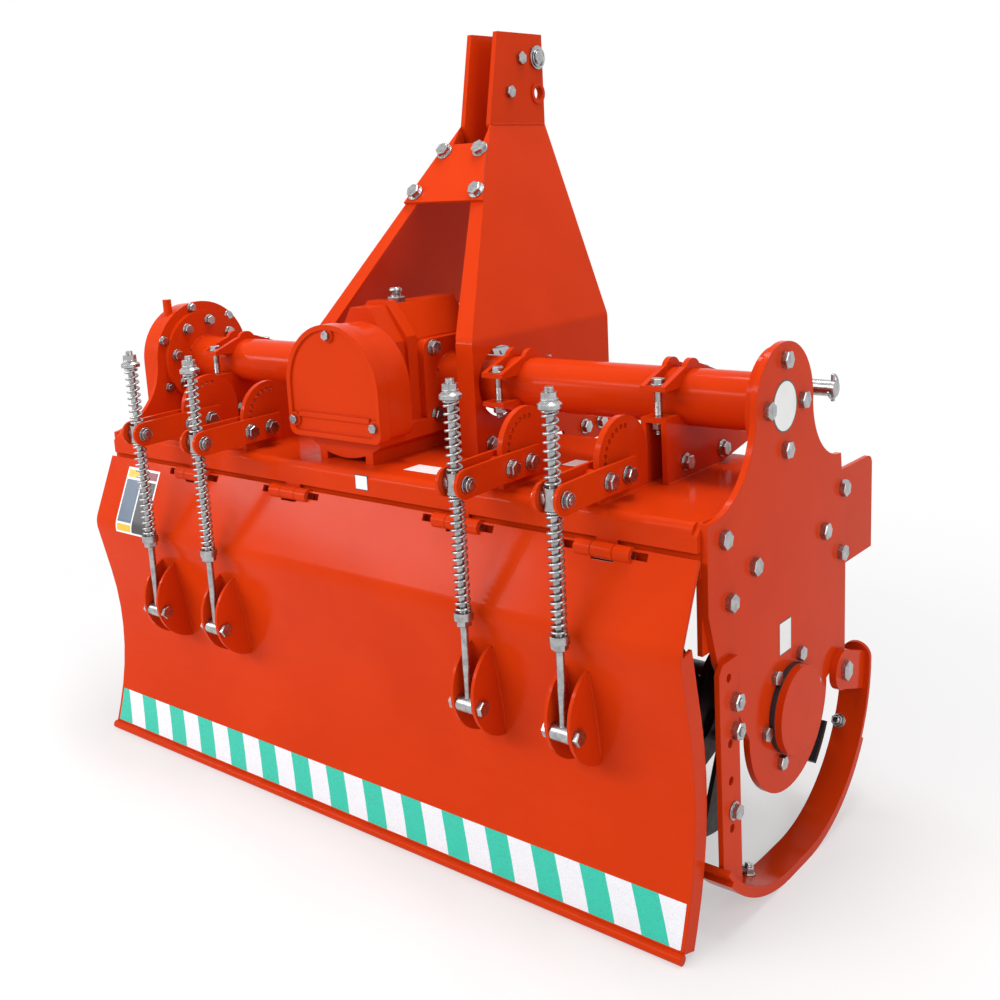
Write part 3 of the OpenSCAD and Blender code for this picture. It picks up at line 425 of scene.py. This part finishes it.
def board_quad(kit, low, low_ends, high, high_ends, m, lift):
    """A flat face on the board's rear, between two heights and their ends in X."""
    (a0, a1), (b0, b1) = low_ends, high_ends
    low_y, high_y = face_y(low, lift), face_y(high, lift)
    kit.add([(a0, low_y, low), (a1, low_y, low), (b1, high_y, high), (b0, high_y, high)],
            [(0, 1, 2, 3)], m)


# Striped tape along the board's lower edge.
TAPE_LOW, TAPE_HIGH = 20, 82
TAPE_X0, TAPE_X1 = -654, 686
TAPE_LIFT = 0.35
STRIPES, LEAN = 30, 28
STRIPE_W = (TAPE_X1 - TAPE_X0 + LEAN) / STRIPES
LEAST_W = 0.2


def stripe_ends(i, z):
    """A slanted stripe's ends at a height, cut off at the tape's ends."""
    lean = LEAN * (TAPE_HIGH - z) / (TAPE_HIGH - TAPE_LOW)
    left = TAPE_X0 - LEAN + i * STRIPE_W + lean
    return [max(TAPE_X0, min(TAPE_X1, x)) for x in (left, left + STRIPE_W)]


tape = Kit("board_tape", "board", mats=[TEAL, WHITE])
levels = face_levels(TAPE_LOW, TAPE_HIGH)
for i in range(STRIPES):
    for low, high in zip(levels, levels[1:]):
        low_ends, high_ends = stripe_ends(i, low), stripe_ends(i, high)
        if low_ends[1] - low_ends[0] + high_ends[1] - high_ends[0] >= LEAST_W:
            board_quad(tape, low, low_ends, high, high_ends, i % 2, TAPE_LIFT)
tape.build()

# The board's blank sign, as (left, right, low, high, material, lift): its ground, then its blocks.
PALE, DARK, YELLOW, SLATE, RED = range(5)
UNDER, OVER = 0.3, 0.5
SIGN = (
    (-594, -492, 434, 556, PALE, UNDER),
    (-590, -545, 538, 552, YELLOW, OVER),
    (-590, -545, 456, 534, SLATE, OVER),
    (-590, -545, 438, 452, YELLOW, OVER),
    (-541, -496, 538, 552, RED, OVER),
    (-541, -496, 438, 534, DARK, OVER))
signs = Kit("board_labels", "board", mats=[LABEL, INK, AMBER, BLUE, MAROON])
for x0, x1, bottom, top, m, lift in SIGN:
    levels = face_levels(bottom, top)
    for low, high in zip(levels, levels[1:]):
        board_quad(signs, low, (x0, x1), high, (x0, x1), m, lift)
signs.build()

# The frame's blank stickers, as (middle, middle, width, height). A layer is a lift and a material:
# a dark border under a pale face, or the face alone.
BORDERED, PLAIN = ((UNDER, DARK), (OVER, PALE)), ((UNDER, PALE),)
INSETS = (0, 1.5)
PLATE_LABEL, LIP_LABEL = (-16, 383, 40, 52), (55, 599, 30, 26)
HOOD_LABELS = ((367, -41, 84, 40), (151, -189, 84, 40))
ROUND_Y, ROUND_Z, ROUND_RS = TUBE_Y - 3, TUBE_Z - 2, (39, 36.5)
labels = Kit("frame_labels", "frame", mats=[LABEL, INK])


def on_plate(u, v, lift):
    return RIGHT_X + lift, u, v


def on_lip(u, v, lift):
    return u, HOOD_REAR_Y - lift, v


def on_hood(u, v, lift):
    return u, v, HOOD_Z + lift


def rectangle(u, v, w, h, inset=0):
    a, b = w / 2 - inset, h / 2 - inset
    return [(u - a, v - b), (u + a, v - b), (u + a, v + b), (u - a, v + b)]


def sticker(place, outlines, layers):
    """A sticker's outlines, one to a layer, laid on one of the frame's surfaces."""
    for outline, (lift, m) in zip(outlines, layers):
        labels.add([place(u, v, lift) for u, v in outline], [tuple(range(len(outline)))], m)


discs = [[(ROUND_Y + u, ROUND_Z + v) for u, v in around(r, 48)] for r in ROUND_RS]
sticker(on_plate, [rectangle(*PLATE_LABEL, inset) for inset in INSETS], BORDERED)
sticker(on_plate, discs, BORDERED)
sticker(on_lip, [rectangle(*LIP_LABEL, inset) for inset in INSETS], BORDERED)
for label in HOOD_LABELS:
    sticker(on_hood, [rectangle(*label)], PLAIN)
labels.build()

# Bolts and nuts of the side plates, the struts and the skids, as (y, z).
PLATE_BOLTS = ((-15, 804), (-14, 671), (41, 736), (-71, 739), (-202, 585), (-115, 522), (-186, 490),
               (118, 513), (189, 566), (183, 460))
STRUT_NUTS, STRUT_NUT_H = ((-190, 347), (-189, 303)), 11
STRUT_FOOT = (-196, 182)
PIVOT = (176, ROTOR_Z)
SKID_XS = (676, -645)
SKID_NUTS = ((62, 18), (-15, -42))  # a turn on the runner's arc in degrees, and the arc's centre in Y


def bolt_circle(count, first, step, r):
    """Offsets from a bolt circle's centre, by degrees."""
    turns = [math.radians(first + step * k) for k in range(count)]
    return [(r * math.cos(a), r * math.sin(a)) for a in turns]


def strut_fasteners(kit, side, plate_x, stud, pivot_h):
    """What holds a skid and its strut to a side plate."""
    axis = (side, 0, 0)
    face = plate_x + side * STRUT_T
    for y, z in STRUT_NUTS:
        kit.hexagon((face, y, z), axis, flats=24, h=STRUT_NUT_H)
        kit.thread((face + side * STRUT_NUT_H, y, z), axis, r=7, length=stud)
    kit.bolt((face, *STRUT_FOOT), axis, size=14)
    kit.hexagon((plate_x + side * PIVOT_T, *PIVOT), axis, flats=30, h=pivot_h)


right = Kit("right_plate_bolts", "frame", "zinc")
for y, z in PLATE_BOLTS:
    right.bolt((RIGHT_X, y, z), OUT, size=16, washer=False)
for y, z in bolt_circle(count=6, first=67, step=60, r=84):
    right.bolt((RIGHT_X, y, ROTOR_Z + z), OUT, size=14, washer=False)
strut_fasteners(right, 1, RIGHT_X, stud=2, pivot_h=8.5)
right.build()

# A black ring round the hub's boss, as painted shade: it stands for the shaded gap between the boss
# and the side plate.
gap_shade = Kit("hub_gap_painted_shade", "frame", "black_paint")
gap_shade.collar((RIGHT_X, 0, ROTOR_Z), OUT, inner=69.4, outer=70.5, low=0.2, high=8.8, segs=72)
gap_shade.build()

left = Kit("left_plate_bolts", "frame", "zinc")
for y, z in bolt_circle(count=8, first=35, step=45, r=78):
    left.bolt((LEFT_IN + FLANGE_T, TUBE_Y + y, TUBE_Z + z), OUT, size=12)
for y, z in bolt_circle(count=5, first=47, step=54, r=109):
    left.bolt((LEFT_IN, TUBE_Y + y, TUBE_Z + z), OUT, size=10)
strut_fasteners(left, -1, LEFT_X, stud=6, pivot_h=12)
left.build()

shoes = Kit("skid_bolts", "frame", "zinc")
for x in SKID_XS:
    for turn, centre in SKID_NUTS:
        a = math.radians(turn)
        n = Vector((0, -math.sin(a), math.cos(a)))
        shoes.nut(Vector((x, centre, RUNNER_R)) - n * RUNNER_IN, n, size=12, stud=5)
shoes.build()

# The mast: the cross plate's bolts by their share of the way up it, the head's bolts and the feet.
STRIP_SHARES, STRIP_T, STRIP_INSET = (0.665, 0.865), 6, 14
HEAD_BOLTS = ((283, 1299), (245, 1237))
FOOT_OUTLINE = ((100, 619), (152, 619), (170, 585), (300, 585), (316, 601), (316, 720), (100, 720))
FOOT_T, FOOT_BOLT_YS, FOOT_BOLT_Z = 6, (220, 273), 614
LEG_BOLT = (-49, 634)
mast = Kit("mast_bolts", "frame", "zinc")
rise = Vector((0, HEAD_Y - FOLD_Y, HEAD_Z - FOLD_Z))
strip_n = Vector((0, -rise.z, rise.y)).normalized()
for share in STRIP_SHARES:
    half = FOLD_HALF + (HEAD_HALF - FOLD_HALF) * share - STRIP_INSET
    for side in (-1, 1):
        at = Vector((MAST_X + side * half, FOLD_Y, FOLD_Z)) + rise * share + strip_n * STRIP_T
        mast.bolt(at, strip_n, size=16)
for y, z in HEAD_BOLTS:
    mast.bolt((MAST_X + HEAD_HALF, y, z), OUT, size=14, washer=False)
    mast.nut((MAST_X - HEAD_HALF, y, z), IN, size=16, stud=6)
feet = Kit("mast_feet", "frame", "orange_paint")
for side, axis in SIDES:
    x = MAST_X + side * FOLD_HALF
    outline = [(x, y, z) for y, z in FOOT_OUTLINE]
    feet.slab(outline if side > 0 else outline[::-1], low=0.2, high=FOOT_T)
    mast.bolt((x, *LEG_BOLT), axis, size=14)
    for y in FOOT_BOLT_YS:
        mast.bolt((x + side * FOOT_T, y, FOOT_BOLT_Z), axis, size=14)
feet.build()
mast.build()

rims = Kit("head_rims", "frame", "orange_paint")
for side, axis in SIDES:
    rims.collar((MAST_X + side * HEAD_HALF, LINK_Y, LINK_HOLE_Z), axis, inner=13.3, outer=20.5,
                low=0.1, high=3.2, segs=48)
rims.build()

# The top link pin's end, and a wire ring that lies on its washer with a gap.
RING_R, RING_WIRE_R, RING_DROP = 16, 1.3, 1.5
PIN_END = [(12.7, 0), (12.7, 3.6), (11.6, 4.8)]
pin = Kit("link_pin_end", "frame", "zinc")
pin_face = MAST_X + HEAD_HALF + PIN_WASHER_T
pin.lathe((pin_face + 0.1, LINK_Y, LINK_PIN_Z), OUT, PIN_END, segs=36, smooth=False)
pin.tube([(pin_face + 1.5, LINK_Y + s, LINK_PIN_Z - RING_DROP + c)
          for c, s in around(RING_R, 36)[:35]], RING_WIRE_R)
pin.build()

# The sprung rods: arms, lugs, trunnions and nuts.
ARM_OUT, ARM_BOLT_YS, ARM_BOLT_Z = 21, (-232, -185), 653
LUG_OUT = 23.2
COTTER_TURNS = [math.tau * i / 14 for i in range(-1, 10)]
COTTER_R, COTTER_OUT = 10, 29
TRUNNION_OUT = 21.3
ROD_TOP, CAP_Z, COLLAR_Z = 798.6, 788, 443.2
CAP = [(11.8, 0), (11.8, 0.1), (12.4, 0.6), (12.4, 1.4), (11.8, 2)]
arms = Kit("arm_bolts", "frame", "zinc")
for x in ROD_XS:
    for y in ARM_BOLT_YS:
        arms.bolt((x + ARM_OUT, y, ARM_BOLT_Z), OUT, size=14)
        arms.nut((x - ARM_OUT, y, ARM_BOLT_Z), IN, size=14, stud=5)
arms.build()

lugs = Kit("lug_bolts", "board", "zinc")
for x in ROD_XS:
    for side, axis in SIDES:
        lugs.hexagon((x + side * LUG_OUT, ROD_Y, EYE_Z), axis, flats=22, h=8.6)
lugs.build()

for k, x in enumerate(ROD_XS, 1):
    ends = Kit("trunnion_washers_%d" % k, "swivel_%d" % k, "zinc")
    for side, axis in SIDES:
        ends.washer((x + side * TRUNNION_OUT, ROD_Y, TRUNNION_Z), axis, r=13)
        ends.tube([(x + side * COTTER_OUT, ROD_Y + COTTER_R * math.cos(t),
                    TRUNNION_Z + COTTER_R * math.sin(t)) for t in COTTER_TURNS], r=1.2, sides=6)
    ends.build()
    tops = Kit("rod_nuts_%d" % k, "slider_%d" % k, "zinc")
    tops.thread((x, ROD_Y, ROD_TOP), UP, r=6.5, length=7.2, pitch=1.5)
    tops.hexagon((x, ROD_Y, COLLAR_Z), DOWN, flats=22, h=10)
    tops.lathe((x, ROD_Y, CAP_Z), UP, CAP)
    tops.build()

# The tube's clamps and the lower link brackets, with a linchpin in each link pin.
CLAMP_OUT = FOLD_HALF + 46
CLAMP_XS = [MAST_X - CLAMP_OUT, MAST_X + CLAMP_OUT] + HITCH_XS
EAR_Y, EAR_Z = 66, 28
SHANK, SHANK_LOW, THREAD_LOW = [(6, 0), (6, 40)], 20, 18
BRACKET_BOLTS = ((-40, 642), (74, 640))
LINK_NUT_OUT = 36
LINCHPIN_OUT, LINCHPIN_LOW, LINCHPIN_HIGH = 98, 22, 24
LINCH_RING_R, LINCH_RING_UP = 21, 3
clamps = Kit("clamp_bolts", "frame", "zinc")
for x in CLAMP_XS:
    for y in (TUBE_Y - EAR_Y, TUBE_Y + EAR_Y):
        clamps.bolt((x, y, TUBE_Z + EAR_Z), UP, size=12)
        clamps.lathe((x, y, TUBE_Z - SHANK_LOW), UP, SHANK, segs=16)
        clamps.thread((x, y, TUBE_Z - THREAD_LOW), UP, r=6.3, length=20)
        clamps.nut((x, y, TUBE_Z - EAR_Z), DOWN, size=12, stud=8)
for x in HITCH_XS:
    for y, z in BRACKET_BOLTS:
        clamps.bolt((x + HITCH_OUT, y, z), OUT, size=14)
        clamps.nut((x - HITCH_OUT, y, z), IN, size=14, stud=6)
for x, side in zip(HITCH_XS, (-1, 1)):
    end = x + side * LINCHPIN_OUT
    heights = (HITCH_Z - LINCHPIN_LOW, HITCH_Z + LINCHPIN_HIGH)
    clamps.tube([(end, HITCH_Y, z) for z in heights], r=3.5, sides=10)
    clamps.tube([(end, HITCH_Y + s, HITCH_Z + LINCH_RING_UP + c)
                 for c, s in around(LINCH_RING_R, 20)[:15]], r=1.8)
    clamps.hexagon((x - side * LINK_NUT_OUT, HITCH_Y, HITCH_Z), (-side, 0, 0), flats=36, h=12)
clamps.build()

# The gearbox: its rear cover's bolts on bosses, side bolts, breather and foot bolts.
COVER_BOLTS = ((0, 838), (-97, 688), (97, 688))
SIDE_BOLTS = ((-50, -60), (-50, 60), (50, -60), (50, 60))
SUMP_BOLT_XS, SUMP_BOLT_Y = (-36, 36), -80
BREATHER_Y, BREATHER_Z, BREATHER_NUT_H = -60, 875, 10
BREATHER = [(9, 0), (9, 8), (11, 9), (11, 13), (8, 16)]
BOSS, BOSS_DEEP = [(13, 0), (13, 4), (12, 5.2)], 5
gear = Kit("gearbox_bolts", "frame", "zinc")
boss = Kit("gearbox_bosses", "frame", "orange_paint")
for x, z in COVER_BOLTS:
    boss.lathe((MAST_X + x, COVER_Y + BOSS_DEEP, z), REAR, BOSS, segs=28, smooth=False)
    gear.bolt((MAST_X + x, COVER_Y - 0.2, z), REAR, size=10, washer=False)
for side, axis in SIDES:
    for y, z in SIDE_BOLTS:
        gear.bolt((MAST_X + side * GEAR_HALF, TUBE_Y + y, TUBE_Z + z), axis, size=14)
gear.hexagon((MAST_X, BREATHER_Y, BREATHER_Z), UP, flats=30, h=BREATHER_NUT_H)
gear.lathe((MAST_X, BREATHER_Y, BREATHER_Z + BREATHER_NUT_H), UP, BREATHER, segs=20)
for x in SUMP_BOLT_XS:
    gear.bolt((MAST_X + x, SUMP_BOLT_Y, HOOD_Z), UP, size=10)
gear.build()
boss.build()


BEAD_STEP = 2.2


def bead(kit, points, r=2.6):
    """A weld bead along points: a wire whose thickness ripples."""
    pts = [Vector(p) for p in points]
    dense = [pts[0]]
    for a, b in zip(pts, pts[1:]):
        n = max(1, int((b - a).length / BEAD_STEP))
        dense += [a + (b - a) * (i + 1) / n for i in range(n)]
    rings = []
    for i, p in enumerate(dense):
        t = (dense[min(i + 1, len(dense) - 1)] - dense[max(i - 1, 0)]).normalized()
        rot = basis(t)
        rr = r * (0.86 + 0.14 * math.sin(i * 1.9) + 0.06 * rng.random())
        rings.append([p + rot @ Vector((u, v, 0)) for u, v in around(rr, 8)])
    kit.rings(rings)


# Welds round the tube, then straight ones along Y, as (x, ends in Y, z).
welds = Kit("frame_welds", "frame", "orange_paint")
tube_loop = around(TUBE_R, 60)
for x in (RIGHT_IN - FLANGE_T, LEFT_IN + FLANGE_T, MAST_X + GEAR_HALF, MAST_X - GEAR_HALF):
    bead(welds, [(x, TUBE_Y + u, TUBE_Z + v) for u, v in tube_loop + tube_loop[:1]], r=3.0)
straight = [(x + d, (-232, -108), HOOD_Z) for x in ROD_XS for d in (-5, 5)]
straight += [(x + d, (-90, 66), HOOD_Z) for x in HITCH_XS for d in (-HITCH_OUT, HITCH_OUT)]
for side in (-1, 1):
    straight += [(MAST_X + side * FOLD_HALF, (-50, 116), HOOD_Z),
                 (MAST_X + side * HEAD_HALF, (190, 350), HEAD_Z)]
for x, ends_y, z in straight:
    bead(welds, [(x, y, z) for y in ends_y])
welds.build()

# A baffle inside the hood's lip, which closes the view through the hinge line: for each strip, its
# gap to the side plates and its section.
INSIDE_Y = HOOD_REAR_Y + 4.9
BAFFLE = (
    (8.4, ((0, 592), (0, 578), (1.5, 574), (3.9, 574), (3.9, 592))),
    (0.4, ((1.5, 576), (1.5, 541), (2.2, 540), (3.2, 540), (3.9, 541), (3.9, 576))))
baffle = Kit("hinge_baffle", "frame", "orange_paint")
for gap, section in BAFFLE:
    baffle.rings([[(x, INSIDE_Y + y, z) for y, z in section]
                  for x in (LEFT_IN + gap, RIGHT_IN - gap)], smooth=False)
baffle.build()

# Welds of the board's lugs and of the bar along its lower edge.
LUG_LOW, LUG_HIGH, LUG_SIDES = 254, 392, (-23, -17, 17, 23)
BAR_INSET, BAR_WELD_HALF, BAR_WELD_Z, BAR_TOP_Z = 4, 3, 19, 22
seams = Kit("board_welds", "board", "orange_paint")
for x in ROD_XS:
    for side in LUG_SIDES:
        bead(seams, [(x + side, face_y(z), z) for z in face_levels(LUG_LOW, LUG_HIGH)], r=2.2)
for x in (MID_X - BOARD_HALF + BAR_INSET, MID_X + BOARD_HALF - BAR_INSET):
    bead(seams, [(x + d, face_y(BAR_TOP_Z), BAR_WELD_Z)
                 for d in (-BAR_WELD_HALF, BAR_WELD_HALF)], r=2.2)
seams.build()

# The rotor's blade bolts: three blades on each side of each flange, set round in a spiral.
FLANGES, PER_SIDE, BLADE_OUT, BLADE_BOLT_RS = 6, 3, 13, (56, 76)
blades = Kit("blade_bolts", "rotor", "zinc")
for i in range(FLANGES):
    flange_x = FIRST_FLANGE_X + (LAST_FLANGE_X - FIRST_FLANGE_X) * i / (FLANGES - 1)
    for k in range(PER_SIDE):
        for side in (-1, 1):
            turn = math.tau * (k + i / FLANGES) / PER_SIDE + (0 if side > 0 else math.pi / 3)
            for r in BLADE_BOLT_RS:
                at = (flange_x + side * BLADE_OUT, r * math.cos(turn), ROTOR_Z + r * math.sin(turn))
                blades.bolt(at, (side, 0, 0), size=10, washer=False)
blades.build()

# The input shaft's splines, by (y, radius).
SPLINES, SPLINE_HALF = 6, 4.2
SPLINE = ((206, 17.2), (206, 19.4), (286, 19.4), (289.5, 17.2))
shaft_at = Vector((MAST_X, 0, TUBE_Z))
spline = Kit("shaft_splines", "pto", "bare_steel")
for k in range(SPLINES):
    rot = Matrix.Rotation(math.tau * k / SPLINES, 3, "Y")
    spline.rings([[shaft_at + rot @ Vector((x, y, r)) for y, r in SPLINE]
                  for x in (-SPLINE_HALF, SPLINE_HALF)], smooth=False)
spline.build()


def seen(nt):
    """1 for camera, glossy and transmission rays, and 0 for the light that falls on the part."""
    path = add_node(nt, "LightPath")
    total = path.outputs["Is Camera Ray"]
    for kind in ("Is Glossy Ray", "Is Transmission Ray"):
        both = add_node(nt, "Math")
        both.operation = "ADD"
        both.use_clamp = True
        nt.links.new(total, both.inputs[0])
        nt.links.new(path.outputs[kind], both.inputs[1])
        total = both.outputs[0]
    return total


# A pale floor that catches shadows near the part and fades into the white room further away.
FLOOR_HALF = 30
FADE_FROM, FADE_TO, NEAR_GLOW = 0.6, 2.2, 0.45
mat, nt, bsdf = new_material("pale_floor")
bsdf.inputs["Base Color"].default_value = (0.86, 0.86, 0.86, 1)
bsdf.inputs["Roughness"].default_value = 0.9
bsdf.inputs["Specular IOR Level"].default_value = 0.0
emit = add_node(nt, "Emission", {"Strength": 1.0})
coord = add_node(nt, "TexCoord")
length = add_node(nt, "VectorMath")
length.operation = "LENGTH"
nt.links.new(coord.outputs["Object"], length.inputs[0])
far = add_node(nt, "MapRange", {"From Min": FADE_FROM, "From Max": FADE_TO,
                                "To Min": NEAR_GLOW, "To Max": 1.0})
far.interpolation_type = "SMOOTHSTEP"
nt.links.new(length.outputs["Value"], far.inputs["Value"])
share = add_node(nt, "Math")
share.operation = "MULTIPLY"
nt.links.new(seen(nt), share.inputs[0])
nt.links.new(far.outputs["Result"], share.inputs[1])
mix = add_node(nt, "MixShader")
nt.links.new(share.outputs[0], mix.inputs["Fac"])
nt.links.new(bsdf.outputs["BSDF"], mix.inputs[1])
nt.links.new(emit.outputs["Emission"], mix.inputs[2])
nt.links.new(mix.outputs["Shader"], nt.nodes["Material Output"].inputs["Surface"])
mesh = bpy.data.meshes.new("floor")
corners = [(x * FLOOR_HALF, y * FLOOR_HALF, 0) for x, y in ((-1, -1), (1, -1), (1, 1), (-1, 1))]
mesh.from_pydata(corners, [], [(0, 1, 2, 3)])
obj = bpy.data.objects.new("floor", mesh)
scene.collection.objects.link(obj)
mesh.materials.append(mat)

# A white room, dimmer as a light than it looks.
ROOM_LIGHT, ROOM_SEEN = 0.5, 1.0
world = bpy.data.worlds.new("studio")
scene.world = world
world.use_nodes = True
nt = world.node_tree
back = nt.nodes["Background"]
back.inputs["Color"].default_value = (1, 1, 1, 1)
level = add_node(nt, "MapRange", {"To Min": ROOM_LIGHT, "To Max": ROOM_SEEN})
nt.links.new(seen(nt), level.inputs["Value"])
nt.links.new(level.outputs["Result"], back.inputs["Strength"])


def area(name, place, target, size, power):
    """A rectangular lamp aimed at a point, in metres and watts."""
    lamp = bpy.data.lights.new(name, "AREA")
    lamp.shape = "RECTANGLE"
    lamp.size, lamp.size_y = size
    lamp.energy = power
    obj = bpy.data.objects.new(name, lamp)
    obj.location = place
    aim = Vector(target) - Vector(place)
    obj.rotation_euler = aim.to_track_quat("-Z", "Y").to_euler()
    scene.collection.objects.link(obj)


area("key", (-1.2, -3.6, 3.2), (0, -0.2, 0.6), (2.6, 0.6), 72)
area("side", (3.8, -1.0, 2.2), (0.4, 0, 0.6), (1.6, 2.2), 34)
area("sheen", (-2.6, -2.6, 1.75), (0, -0.29, 0.5), (1.8, 0.5), 40)
area("top", (0.2, 0.4, 3.6), (0, 0, 0.6), (2.6, 0.5), 62)

# The camera fitted to the photo: angles, place in metres, focal length and centre in pixels.
YAW, PITCH, ROLL = (math.radians(v) for v in (40.05, 11.85, -3.09))
CAMERA_AT = (1.4698, -1.6052, 1.0833)
PHOTO_W, SENSOR_W = 1000, 36
FOCAL, CENTRE_U, CENTRE_V = 1209.0, 487.8, 430.6
back_dir = Vector((math.sin(YAW) * math.cos(PITCH), -math.cos(YAW) * math.cos(PITCH),
                   math.sin(PITCH)))
level_dir = Vector((math.cos(YAW), math.sin(YAW), 0))
rise_dir = back_dir.cross(level_dir)
right_dir = level_dir * math.cos(ROLL) + rise_dir * math.sin(ROLL)
up_dir = rise_dir * math.cos(ROLL) - level_dir * math.sin(ROLL)
lens = bpy.data.cameras.new("camera")
lens.sensor_width = SENSOR_W
lens.lens = SENSOR_W * FOCAL / PHOTO_W
lens.shift_x = (PHOTO_W / 2 - CENTRE_U) / PHOTO_W
lens.shift_y = (CENTRE_V - PHOTO_W / 2) / PHOTO_W
camera = bpy.data.objects.new("camera", lens)
rotation = Matrix((right_dir, up_dir, back_dir)).transposed().to_4x4()
camera.matrix_world = Matrix.Translation(CAMERA_AT) @ rotation
scene.collection.objects.link(camera)
scene.camera = camera
scene.view_settings.view_transform = "Standard"
